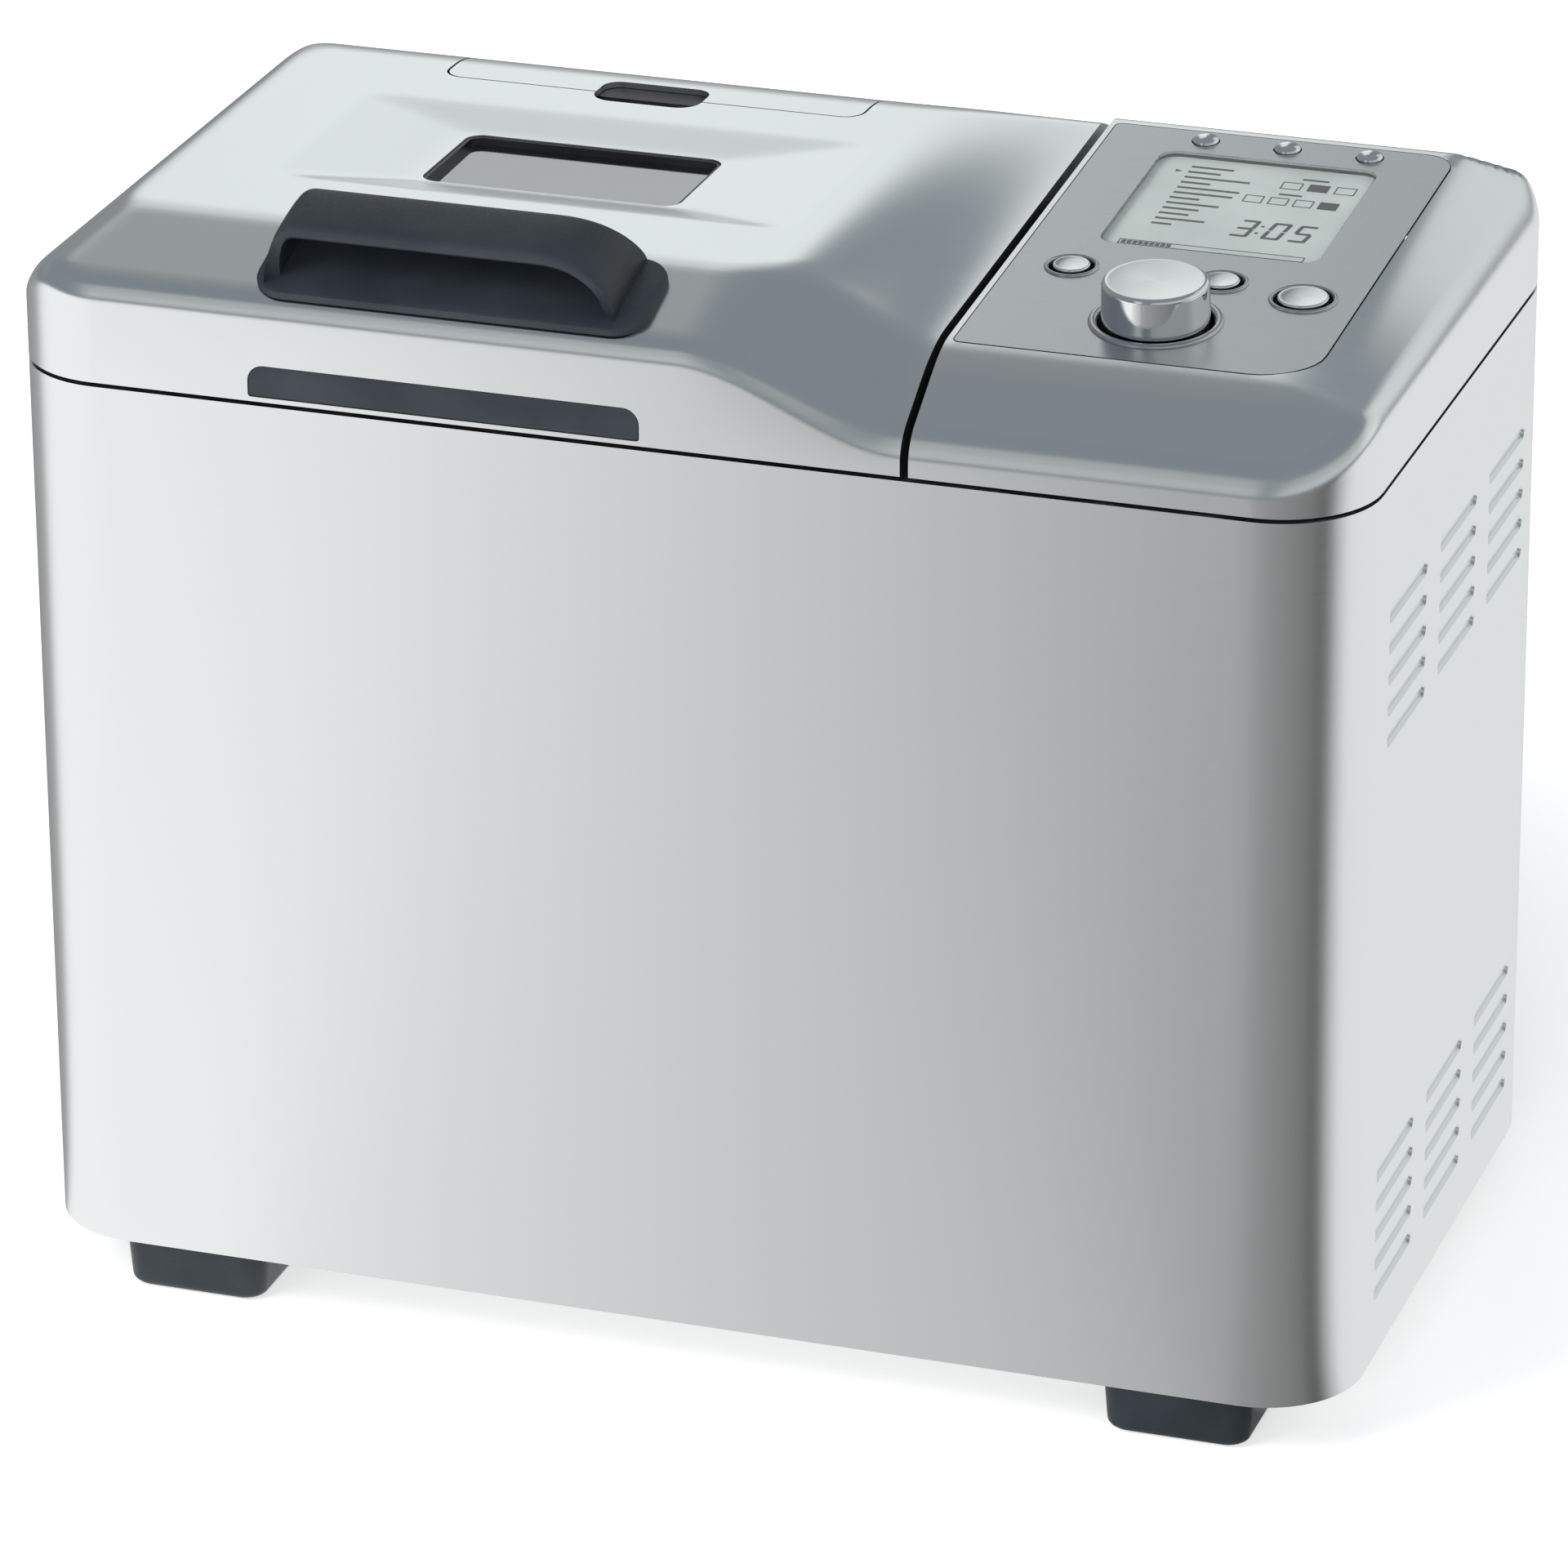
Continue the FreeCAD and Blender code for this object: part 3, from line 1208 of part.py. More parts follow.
board_face = "chassis_top + power_post + board"
power_sheet = block("power_sheet", power_x, power_y, ("chassis_top + power_post", board_face))
tall_x = (power_x[0] + " + 2 * post", power_x[0] + " + 2 * post + transformer")
tall_y = (power_y[1] + " - 2 * post - transformer", power_y[1] + " - 2 * post")
tall_z = (board_face, board_face + " + transformer")
transformer = block("transformer", tall_x, tall_y, tall_z)
sink_x = (power_x[1] + " - 4 * post", power_x[1] + " - 4 * post + chassis_sheet")
heat_sink = block("heat_sink", sink_x, tall_y, tall_z)
part("power_board", join("power_board", power_sheet, transformer, heat_sink))
capacitor_x = "right - chassis_room_x - capacitor_size/2 - seal_room"
capacitor_y = "front + chassis_room_y + capacitor_size/2 + capacitor_room"
capacitor_at = (capacitor_x, capacitor_y, "chassis_top")
part("capacitor", rod("capacitor_can", "capacitor_size/2", "capacitor_length", *capacitor_at))

# Motor standing on the chassis, its pulley below, and the belt to the spindle's pulley

spindle_way = "shaft/2 + running_gap"
way_top = "chassis_top + motor_length/3"
motor_body = turned("motor_body", [
    (spindle_way, "chassis_top - chassis_sheet"), ("motor_pilot", "chassis_top - chassis_sheet"),
    ("motor_pilot", "chassis_top"), ("motor_size/2 - motor_bevel", "chassis_top"),
    ("motor_size/2", "chassis_top + motor_bevel"),
    ("motor_size/2", "chassis_top + motor_length - motor_bevel"),
    ("motor_size/2 - motor_bevel", "chassis_top + motor_length"), ("0", "chassis_top + motor_length"),
    ("0", way_top), (spindle_way, way_top),
])
bind(motor_body, Placement__Base__x="motor_x")
part("motor", motor_body)
shaft_low = "base_top + pulley_rise/2"


def pulley(name, size, bore, x):
    """A flanged wheel whose middle carries the belt."""
    rim = size + "/2 + pulley_flange"
    wheel = turned(name + "_wheel", [
        (bore, "pulley_low"), (rim, "pulley_low"), (rim, "pulley_low + pulley_flange"),
        (size + "/2", "pulley_low + pulley_flange"), (size + "/2", "pulley_high - pulley_flange"),
        (rim, "pulley_high - pulley_flange"), (rim, "pulley_high"), (bore, "pulley_high"),
    ])
    return bind(wheel, Placement__Base__x=x)


motor_shaft_length = "%s - hinge_gap - (%s)" % (way_top, shaft_low)
motor_spindle = rod("motor_spindle", "shaft/2", motor_shaft_length, "motor_x", "0", shaft_low)
small_wheel = pulley("motor_pulley", "motor_pulley", "shaft/4", "motor_x")
part("motor_pulley", join("motor_pulley", motor_spindle, small_wheel))
part("drive_pulley", pulley("drive_pulley", "drive_pulley", spindle_way, "lid_mid"))


def belt_loop(extra):
    """The face inside the loop that runs round both pulleys at a distance from their grooves."""
    near, far = num("lid_mid"), num("motor_x")
    big = num("drive_pulley/2") + extra
    small = num("motor_pulley/2") + extra
    lean = math.pi / 2 - math.asin((big - small) / (far - near))
    marks = []
    for x, radius in ((near, big), (far, small)):
        for side in (1, -1):
            marks.append(Vector(x + radius * math.cos(lean), side * radius * math.sin(lean), 0))
    edges = [
        Part.Arc(marks[0], Vector(near - big, 0, 0), marks[1]).toShape(),
        Part.makeLine(marks[1], marks[3]),
        Part.Arc(marks[3], Vector(far + small, 0, 0), marks[2]).toShape(),
        Part.makeLine(marks[2], marks[0]),
    ]
    return Part.Face(Part.Wire(edges))


belt_low = num("pulley_low + pulley_flange + belt_gap")
belt_high = num("pulley_high - pulley_flange - belt_gap")
belt = belt_loop(num("belt_gap + belt_thickness")).cut(belt_loop(num("belt_gap")))
belt = belt.extrude(Vector(0, 0, belt_high - belt_low))
part("drive_belt", solid("drive_belt_form", belt, Placement(Vector(0, 0, belt_low), Rotation())))

# Spindle under the chamber: its housing, and the shaft with the dog that turns the pan's shaft

floor_face = "chamber_floor + chamber_wall"
flange_face = "chassis_top + housing_flange_height"
housing = turned("housing", [
    (spindle_way, "pulley_high + hinge_gap"), ("housing_tube", "pulley_high + hinge_gap"),
    ("housing_tube", "chassis_top"), ("housing_flange", "chassis_top"), ("housing_flange", flange_face),
    ("housing_tube", flange_face), ("housing_tube", floor_face), (spindle_way, floor_face),
])
bind(housing, Placement__Base__x="lid_mid")
part("spindle_housing", housing)
dog_low = floor_face + " + wing_gap"
dog_top = dog_low + " + dog_plate"
drive_spindle = rod("drive_spindle", "shaft/2", "%s - (%s)" % (dog_top, shaft_low), "lid_mid", "0", shaft_low)
dog_disc = rod("dog_disc", "dog_size/2", "dog_plate", "lid_mid", "0", dog_low)
prong_x = ("wing_length/4", "wing_length/2")
prong_y = ("wing_side/2 + wing_gap", "wing_side/2 + wing_gap + wing_side")
prong_z = (dog_top, dog_top + " + dog_prong")
near_prong = block("near_prong", ["lid_mid + " + edge for edge in prong_x], prong_y, prong_z)
far_x = ["lid_mid - " + edge for edge in reversed(prong_x)]
far_y = ["-(%s)" % edge for edge in reversed(prong_y)]
far_prong = block("far_prong", far_x, far_y, prong_z)
part("drive_shaft", join("drive_shaft", drive_spindle, dog_disc, near_prong, far_prong))

# Baking chamber with its heater, its sensor and the socket of the pan


def along_x(radius, start, length, y, z):
    """A round bar along X."""
    return Part.makeCylinder(radius, length, Vector(start, y, z), Vector(1, 0, 0))


middle = num("lid_mid")
chamber_wall = num("chamber_wall")
chamber = mouth_prism(0, num("chamber_floor"), num("chamber_top"))
flange_low = num("chamber_top - chamber_wall")
chamber = chamber.fuse(mouth_prism(num("chamber_flange"), flange_low, num("chamber_top")))
chamber = chamber.cut(mouth_prism(-chamber_wall, num(floor_face), num("chamber_top + 1")))
housing_way = Vector(middle, 0, num("chamber_floor") - 1)
chamber = chamber.cut(Part.makeCylinder(num("housing_tube + seat_gap"), chamber_wall + 2, housing_way))
wall_x = num("lid_mid + chamber_x")
element_z = num("chamber_floor + element_rise")
sensor_z = num("chamber_floor + sensor_rise")
legs = (-num("element_legs"), num("element_legs"))
for leg in legs:
    chamber = chamber.cut(along_x(num("bushing/2 + seat_gap"), wall_x - 5, 10, leg, element_z))
chamber = chamber.cut(along_x(num("sensor/2 + seat_gap"), wall_x - 5, 10, 0, sensor_z))
part("baking_chamber", solid("baking_chamber_form", chamber))


def bent_path(points, radii, height):
    """A level open wire of straight runs joined by arcs."""
    spots = [Vector(x, y, height) for x, y in points]
    edges = []
    last = spots[0]
    for index, radius in enumerate(radii, start=1):
        here = spots[index]
        before = (spots[index - 1] - here).normalize()
        after = (spots[index + 1] - here).normalize()
        half = before.getAngle(after) / 2
        reach = radius / math.tan(half)
        inward = (before + after).normalize()
        edges.append(Part.makeLine(last, here + before * reach))
        crest = here + inward * (radius / math.sin(half) - radius)
        last = here + after * reach
        edges.append(Part.Arc(here + before * reach, crest, last).toShape())
    edges.append(Part.makeLine(last, spots[-1]))
    return Part.Wire(edges)


def bar(path, radius):
    """A round bar along a path."""
    first = path.Edges[0]
    aim = first.tangentAt(first.FirstParameter)
    ring = Part.Wire(Part.makeCircle(radius, first.Vertexes[0].Point, aim))
    return path.makePipeShell([ring], True, True)


tube = num("element_tube/2")
reach_x = num("chamber_x - chamber_wall - element_room") - tube
reach_y = num("chamber_y - chamber_wall - element_room") - tube
tail = wall_x + num("element_tail")
bend = num("element_corner")
leg_bend = num("element_legs") / 2
trail = [(tail, legs[0]), (middle + reach_x, legs[0]), (middle + reach_x, -reach_y)]
trail += [(middle - reach_x, -reach_y), (middle - reach_x, reach_y), (middle + reach_x, reach_y)]
trail += [(middle + reach_x, legs[1]), (tail, legs[1])]
bends = [leg_bend, bend, bend, bend, bend, leg_bend]
part("heating_element", solid("heating_element_form", bar(bent_path(trail, bends, element_z), tube)))
bushings = []
for leg in legs:
    neck_start = wall_x - num("bushing_reach")
    collar = along_x(num("bushing/2"), neck_start, num("2 * bushing_reach"), leg, element_z)
    lip = along_x(num("bushing/2 + bushing_lip"), wall_x, num("bushing_lip"), leg, element_z)
    bore = along_x(tube + num("running_gap"), wall_x - num("bushing"), num("2 * bushing"), leg, element_z)
    bushings.append(collar.fuse(lip).cut(bore))
part("element_bushings", solid("element_bushings_form", Part.makeCompound(bushings)))
probe = along_x(num("sensor/2"), wall_x - num("sensor_length/3"), num("sensor_length"), 0, sensor_z)
collar = along_x(num("sensor"), wall_x, num("bushing_lip"), 0, sensor_z)
part("temperature_sensor", solid("temperature_sensor_form", probe.fuse(collar)))

socket = turned("socket", [
    ("socket_inner/2", floor_face), ("socket_outer/2", floor_face),
    ("socket_outer/2", "socket_top"), ("socket_inner/2", "socket_top")])
bind(socket, Placement__Base__x="lid_mid")
part("pan_socket", socket)

# Bread pan: drawn sides, a rim, a skirt that enters the socket and a boss at each end for the bail

pan_bottom, pan_top, pan_wall, draft = num("pan_bottom"), num("pan_top"), num("pan_wall"), num("pan_draft")


def pan_outline(inset, draft, height):
    """The pan's plan outline at a height, drawn in by its draft and an inset."""
    half_x = num("pan_x") - draft - inset
    half_y = num("pan_y") - draft - inset
    corners = [(middle - half_x, -half_y), (middle + half_x, -half_y)]
    corners += [(middle + half_x, half_y), (middle - half_x, half_y)]
    radius = num("pan_corner") - inset - draft / 2
    return rounded_wire(corners, [radius] * 4, lambda spot: Vector(spot.x, spot.y, height))


def upright(radius, low, high):
    """A round bar about the pan's own axis."""
    return Part.makeCylinder(radius, high - low, Vector(middle, 0, low))


pan = Part.makeLoft([pan_outline(0, draft, pan_bottom), pan_outline(0, 0, pan_top)], True, True)
rim = Part.Face(pan_outline(-num("pan_rim"), 0, pan_top - pan_wall)).extrude(Vector(0, 0, pan_wall))
skirt_radius = num("socket_inner/2 - hatch_gap")
skirt_low = num(floor_face + " + dog_plate")
skirt = upright(skirt_radius, skirt_low, pan_bottom)
skirt = skirt.cut(upright(skirt_radius - num("pan_skirt"), skirt_low, pan_bottom))
boss = num("bail_boss/2")
bail_z = pan_top - pan_wall - boss - num("hinge_gap")
boss_end = num("pan_x + pan_rim - hatch_gap")
pan = pan.fuse([rim, skirt])
for side in (-1, 1):
    root = Vector(middle + side * num("pan_x - pan_draft"), 0, bail_z)
    pan = pan.fuse(Part.makeCylinder(boss, boss_end - num("pan_x - pan_draft"), root, Vector(side, 0, 0)))
inside = [pan_outline(pan_wall, draft, pan_bottom + pan_wall), pan_outline(pan_wall, 0, pan_top)]
pan = pan.cut(Part.makeLoft(inside, True, True))
pan = pan.cut(upright(num("bush_outer/2 + running_gap"), pan_bottom - 1, pan_bottom + pan_wall + 1))
wire = num("bail_wire/2")
pin_end = num("pan_x + bail_gap")
for side in (-1, 1):
    start = Vector(middle + side * num("pan_x"), 0, bail_z)
    pan = pan.cut(Part.makeCylinder(wire + num("running_gap"), num("2 * pan_rim"), start, Vector(side, 0, 0)))
part("bread_pan", solid("bread_pan_form", pan))

# Bail: a bent wire that lies forward round the rim, its ends turned into the bosses
arm = num("pan_x + pan_rim + bail_gap") + wire
bar_y = -num("pan_y + pan_rim + bail_gap") - wire
bail_trail = [(middle - pin_end, 0), (middle - arm, 0), (middle - arm, bar_y)]
bail_trail += [(middle + arm, bar_y), (middle + arm, 0), (middle + pin_end, 0)]
tight, easy = wire * 1.05, num("pan_corner")
part("pan_bail", solid("pan_bail_form", bar(bent_path(bail_trail, [tight, easy, easy, tight], bail_z), wire)))

# Pan's own bush, the winged shaft through it and the paddle on top

bush = turned("bush", [
    (spindle_way, "pan_bottom - bush_flange"), ("bush_outer/2 + 2 * bush_flange", "pan_bottom - bush_flange"),
    ("bush_outer/2 + 2 * bush_flange", "pan_bottom"), ("bush_outer/2", "pan_bottom"),
    ("bush_outer/2", "pan_bottom + bush_height"), (spindle_way, "pan_bottom + bush_height"),
])
bind(bush, Placement__Base__x="lid_mid")
part("pan_bush", bush)
wing_low = dog_top + " + wing_gap"
paddle_low = "pan_bottom + bush_height + hinge_gap"
pan_spindle_top = paddle_low + " + paddle_height/2"
pan_shaft_length = "%s - (%s)" % (pan_spindle_top, wing_low)
pan_spindle = rod("pan_spindle", "shaft/2", pan_shaft_length, "lid_mid", "0", wing_low)
wing = block(
    "wing", ("lid_mid - wing_length/2", "lid_mid + wing_length/2"), ("-wing_side/2", "wing_side/2"),
    (wing_low, "pan_bottom - bush_flange - wing_gap"))
part("pan_shaft", join("pan_shaft", pan_spindle, wing))
hub_top = pan_spindle_top + " + paddle_blade"
socket_roof = pan_spindle_top + " + running_gap"
hub = turned("paddle_hub", [
    (spindle_way, paddle_low), ("paddle_hub/2", paddle_low), ("paddle_hub/2 - paddle_blade/2", hub_top),
    ("0", hub_top), ("0", socket_roof), (spindle_way, socket_roof),
])
bind(hub, Placement__Base__x="lid_mid")
blade = slab(
    "blade", [("shaft", paddle_low), ("paddle_length", paddle_low),
              ("paddle_length - paddle_blade", paddle_low + " + paddle_height"), ("shaft", hub_top)],
    "-paddle_blade/2", "paddle_blade/2")
blade.Placement = Placement(Vector(num("lid_mid"), 0, 0), Rotation(Vector(1, 0, 0), 90))
part("kneading_paddle", join("kneading_paddle", hub, blade))

# Every object and every finished shape is sound before anything is written

doc.recompute()
for item in doc.Objects:
    if "Invalid" in item.State or "Error" in item.State:
        raise RuntimeError("%s did not recompute" % item.Name)
for label, item in parts.items():
    if item.Shape.isNull() or not item.Shape.isValid():
        raise RuntimeError("%s has no sound shape" % label)
os.makedirs("parts", exist_ok=True)
for label, item in parts.items():
    item.Shape.exportStep("parts/%s.step" % label)
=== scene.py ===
import math
import bmesh
import bpy
import numpy as np
from mathutils import Matrix, Vector


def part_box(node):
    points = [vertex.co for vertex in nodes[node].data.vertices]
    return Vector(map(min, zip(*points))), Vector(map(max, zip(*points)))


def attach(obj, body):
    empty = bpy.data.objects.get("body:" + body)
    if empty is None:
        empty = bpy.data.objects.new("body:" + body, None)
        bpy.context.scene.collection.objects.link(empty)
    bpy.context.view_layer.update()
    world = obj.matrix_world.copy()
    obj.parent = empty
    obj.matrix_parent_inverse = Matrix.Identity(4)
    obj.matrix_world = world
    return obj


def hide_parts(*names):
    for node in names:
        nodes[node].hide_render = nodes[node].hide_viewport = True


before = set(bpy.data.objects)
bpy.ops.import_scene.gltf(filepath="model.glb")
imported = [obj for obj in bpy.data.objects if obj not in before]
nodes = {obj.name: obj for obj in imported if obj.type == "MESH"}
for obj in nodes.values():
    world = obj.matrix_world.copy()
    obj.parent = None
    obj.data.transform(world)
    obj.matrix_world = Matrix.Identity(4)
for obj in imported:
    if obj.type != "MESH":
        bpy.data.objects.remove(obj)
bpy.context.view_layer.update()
MM = 0.001

# FEET
# Four blocks of dark moulded plastic with rounded corners and eased lower edges.
# A screw from below holds each one against the base plate.


def finish_piece(name, mesh, material, body, replaced=(), crisp=35):
    """An object for a finished mesh, riding on a body, with edges over an angle kept crisp."""
    piece = bpy.data.objects.new(name, mesh)
    bpy.context.scene.collection.objects.link(piece)
    if not mesh.materials:
        mesh.materials.append(material)
    mesh.shade_smooth()
    mesh.set_sharp_from_angle(angle=math.radians(crisp))
    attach(piece, body)
    if replaced:
        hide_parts(*replaced)
    return piece


def new_mesh(name, points, faces):
    """A mesh from points in millimetres, its faces turned outward."""
    mesh = bpy.data.meshes.new(name)
    mesh.from_pydata((np.asarray(points) * MM).tolist(), [], faces)
    work = bmesh.new()
    work.from_mesh(mesh)
    bmesh.ops.recalc_face_normals(work, faces=work.faces)
    work.to_mesh(mesh)
    work.free()
    return mesh


def round_plan(x, y, radii, steps=8):
    """Plan of a rectangle, counterclockwise from its front left corner, with a radius for each corner."""
    corners = ((x[0], y[0], 1, 1), (x[1], y[0], -1, 1), (x[1], y[1], -1, -1), (x[0], y[1], 1, -1))
    plan = []
    for number, (corner_x, corner_y, way_x, way_y) in enumerate(corners):
        radius = radii[number]
        for angle in np.linspace(math.pi * (1 + number / 2), math.pi * (1.5 + number / 2), steps + 1):
            across = corner_x + way_x * radius + radius * math.cos(angle)
            along = corner_y + way_y * radius + radius * math.sin(angle)
            plan.append((across, along))
    return np.array(plan)


def at_height(plan, height):
    """Plan points lifted to a height."""
    return np.column_stack([plan, np.full(len(plan), height)])


def skin(rings, closed=True, ends="capped"):
    """Points and faces of a skin through rings of equal count, its ends capped, joined or open."""
    count = len(rings[0])
    faces = []
    for row in range(len(rings) if ends == "joined" else len(rings) - 1):
        low, high = row * count, (row + 1) % len(rings) * count
        for here in range(count if closed else count - 1):
            after = (here + 1) % count
            faces.append((low + here, low + after, high + after, high + here))
    if ends == "capped":
        faces.append(tuple(range(count - 1, -1, -1)))
        faces.append(tuple(range((len(rings) - 1) * count, len(rings) * count)))
    return np.concatenate(rings), faces


def node_in(tree, kind, links=None, **values):
    """A node with some sockets set and others linked."""
    made = tree.nodes.new(kind)
    for name, value in values.items():
        made.inputs[name.replace("_", " ")].default_value = value
    for name, source in (links or {}).items():
        tree.links.new(source, made.inputs[name])
    return made


def blended(tree, factor, low, high, kind="MIX"):
    """A colour between two others, or the two put together by another kind of blend."""
    mix = tree.nodes.new("ShaderNodeMix")
    mix.data_type = "RGBA"
    mix.blend_type = kind
    sides = [socket for socket in mix.inputs if socket.type == "RGBA"]
    for socket, source in zip([mix.inputs["Factor"], *sides], (factor, low, high)):
        if isinstance(source, bpy.types.NodeSocket):
            tree.links.new(source, socket)
        else:
            socket.default_value = source
    return next(socket for socket in mix.outputs if socket.type == "RGBA")


def grain_group(name, pattern, kind):
    """A shared shader group that takes a point, a pattern's size, two shades and two roughnesses."""
    group = bpy.data.node_groups.new(name, "ShaderNodeTree")
    takes = {"Point": "Vector", pattern: kind, "Dark": "Color", "Light": "Color"}
    takes.update({"Smooth": "Float", "Rough": "Float"})
    gives = {"Color": "Color", "Roughness": "Float", "Height": "Float"}
    for way, sockets in (("INPUT", takes), ("OUTPUT", gives)):
        for socket, socket_kind in sockets.items():
            group.interface.new_socket(socket, in_out=way, socket_type="NodeSocket" + socket_kind)
    return group, group.nodes.new("NodeGroupInput").outputs, group.nodes.new("NodeGroupOutput").inputs


def give_finish(group, takes, gives, shade, relief):
    """Ends a grain group: one value picks the shade, and another the roughness and the height."""
    sheen = node_in(
        group, "ShaderNodeMapRange", {"Value": relief, "To Min": takes["Smooth"], "To Max": takes["Rough"]},
        From_Min=0.3, From_Max=0.7,
    )
    group.links.new(blended(group, shade, takes["Dark"], takes["Light"]), gives["Color"])
    group.links.new(sheen.outputs["Result"], gives["Roughness"])
    group.links.new(relief, gives["Height"])


def grained(name, grain, coordinates, sizes, relief, depth):
    """A material whose colour, roughness and relief come from a grain group, and its shader."""
    made = bpy.data.materials.new(name)
    made.use_nodes = True
    tree = made.node_tree
    shader = tree.nodes["Principled BSDF"]
    place = tree.nodes.new("ShaderNodeTexCoord").outputs[coordinates]
    group = tree.nodes.new("ShaderNodeGroup")
    group.node_tree = grain
    tree.links.new(place, group.inputs["Point"])
    for socket, value in sizes.items():
        group.inputs[socket].default_value = value
    height = group.outputs["Height"]
    bump = node_in(tree, "ShaderNodeBump", {"Height": height}, Strength=relief, Distance=depth)
    tree.links.new(group.outputs["Color"], shader.inputs["Base Color"])
    tree.links.new(group.outputs["Roughness"], shader.inputs["Roughness"])
    tree.links.new(bump.outputs["Normal"], shader.inputs["Normal"])
    return made, shader


# Moulded grain: fine pits, over a faint cloud that drifts between the two shades.
pitted, takes, gives = grain_group("moulded grain", "Pits", "Float")
pits = node_in(pitted, "ShaderNodeTexNoise", {"Vector": takes["Point"], "Scale": takes["Pits"]}, Detail=3.0)
cloud = node_in(pitted, "ShaderNodeTexNoise", {"Vector": takes["Point"]}, Scale=40.0, Detail=3.0)
drift = node_in(pitted, "ShaderNodeMapRange", {"Value": cloud.outputs["Fac"]}, From_Min=0.35, From_Max=0.65)
give_finish(pitted, takes, gives, drift.outputs["Result"], pits.outputs["Fac"])


def moulded(name, dark, light, smooth, rough, pits=1800, depth=0.00012):
    """Plastic, rubber or enamel: a shade that drifts between two colours, and a finely pitted surface."""
    sizes = {"Pits": pits, "Dark": (*dark, 1), "Light": (*light, 1), "Smooth": smooth, "Rough": rough}
    return grained(name, pitted, "Object", sizes, 0.6, depth)[0]


foot_plastic = moulded("foot plastic", (0.011, 0.016, 0.021), (0.020, 0.027, 0.034), 0.32, 0.50)
FOOT_ROUND = 6
FOOT_EASE = 3
FOOT_TAPER = 1.2
for corner in ("front_left", "front_right", "rear_left", "rear_right"):
    low, high = (Vector(side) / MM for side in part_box("foot_" + corner))
    rings = []
    for turn in np.linspace(0, math.pi / 2, 6):
        inset = FOOT_EASE * (1 - math.sin(turn)) + FOOT_TAPER
        across, along = (low.x + inset, high.x - inset), (low.y + inset, high.y - inset)
        plan = round_plan(across, along, [FOOT_ROUND] * 4)
        rings.append(at_height(plan, low.z + FOOT_EASE * (1 - math.cos(turn))))
    plan = round_plan((low.x, high.x), (low.y, high.y), [FOOT_ROUND + FOOT_TAPER] * 4)
    rings.append(at_height(plan, high.z))
    mesh = new_mesh("foot_block_" + corner, *skin(rings))
    finish_piece("foot_block_" + corner, mesh, foot_plastic, "casing", ["foot_" + corner])

# BASE PLATE, CHASSIS AND REAR PANEL
# Galvanised sheet: a plate that closes the bottom, the pressed chassis on it and the vented back.
# Crystals of zinc show as pale and dark flakes, and screws and hinge brackets are plain steel.


def carry(names, material):
    """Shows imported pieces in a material, smooth across edges under an angle."""
    for name in names:
        mesh = nodes[name].data
        mesh.materials.clear()
        mesh.materials.append(material)
        mesh.shade_smooth()
        mesh.set_sharp_from_angle(angle=math.radians(30))


# Metal grain: noise drawn out along one way, which gives the shade, the roughness and the height.
streaks, takes, gives = grain_group("metal grain", "Stretch", "Vector")
drawn = streaks.nodes.new("ShaderNodeVectorMath")
drawn.operation = "MULTIPLY"
streaks.links.new(takes["Point"], drawn.inputs[0])
streaks.links.new(takes["Stretch"], drawn.inputs[1])
drawn_out = drawn.outputs["Vector"]
lines = node_in(streaks, "ShaderNodeTexNoise", {"Vector": drawn_out}, Scale=1.0, Detail=5.0, Roughness=0.65)
give_finish(streaks, takes, gives, lines.outputs["Fac"], lines.outputs["Fac"])


def metal(name, dark, light, smooth, rough, stretch=(60, 60, 900), depth=0.00003, turning=0.0):
    """Bare or coated metal with drawn out grain; turning is how far its gloss is drawn out with it."""
    sizes = {"Stretch": stretch, "Dark": (*dark, 1), "Light": (*light, 1), "Smooth": smooth, "Rough": rough}
    made, shader = grained(name, streaks, "UV" if turning else "Object", sizes, 0.4, depth)
    shader.inputs["Metallic"].default_value = 1.0
    if turning:
        tree = made.node_tree
        way = tree.nodes.new("ShaderNodeTangent")
        way.direction_type = "UV_MAP"
        way.uv_map = "grain"
        tree.links.new(way.outputs["Tangent"], shader.inputs["Tangent"])
        shader.inputs["Anisotropic"].default_value = turning
    return made


zinc_sheet = metal("galvanised sheet", (0.36, 0.37, 0.38), (0.62, 0.63, 0.63), 0.35, 0.55, (150, 150, 150))
hardware_steel = metal(
    "hardware steel", (0.42, 0.42, 0.42), (0.60, 0.60, 0.59), 0.25, 0.42, (500, 500, 500),
)
carry(["base_plate", "chassis", "rear_panel"], zinc_sheet)
carry(["foot_screws", "hinge_brackets", "hinge_pins", "hatch_pin"], hardware_steel)
carry(["pan_shaft", "drive_shaft"], hardware_steel)

# BODY WRAP
# One sheet of brushed steel bent round the front and both sides, its ends turned onto the back.
# Two groups of short louvres are pressed into the right side, each a slope that ends in a sharp lip.

WRAP = {"left": -205, "right": 205, "front": -120, "back": 120, "low": 17, "high": 294}
WRAP_FRONT_ROUND = 30
WRAP_REAR_ROUND = 36
WRAP_EDGE = 157
WRAP_SHEET = 1
WRAP_RIM = 4
LOUVRES = {
    "First column": -58, "Column pitch": 57, "Columns": 3,
    "Low rows": 38, "High rows": 214.6, "Between": 150, "Row pitch": 9.6, "Rows": 5,
    "Half length": 21, "Half height": 2.4, "Depth": 1.1, "Lip": 0.14, "Shoulder": 2.6, "Least draw": 0.04,
}
LIP = LOUVRES["Lip"]
ROW_SHARES = (-1.04, -1, -1 + LIP, -1 + 2 * LIP, -0.3, 0, 0.3, 0.6, 1, 1.08)
ROW_REACH = 1.1
PLAIN_ROWS = (95, 200, 8)
SHOULDER_BEND = 1.2
CORNER_LEAD = 5
END_CLOSE = 0.9998


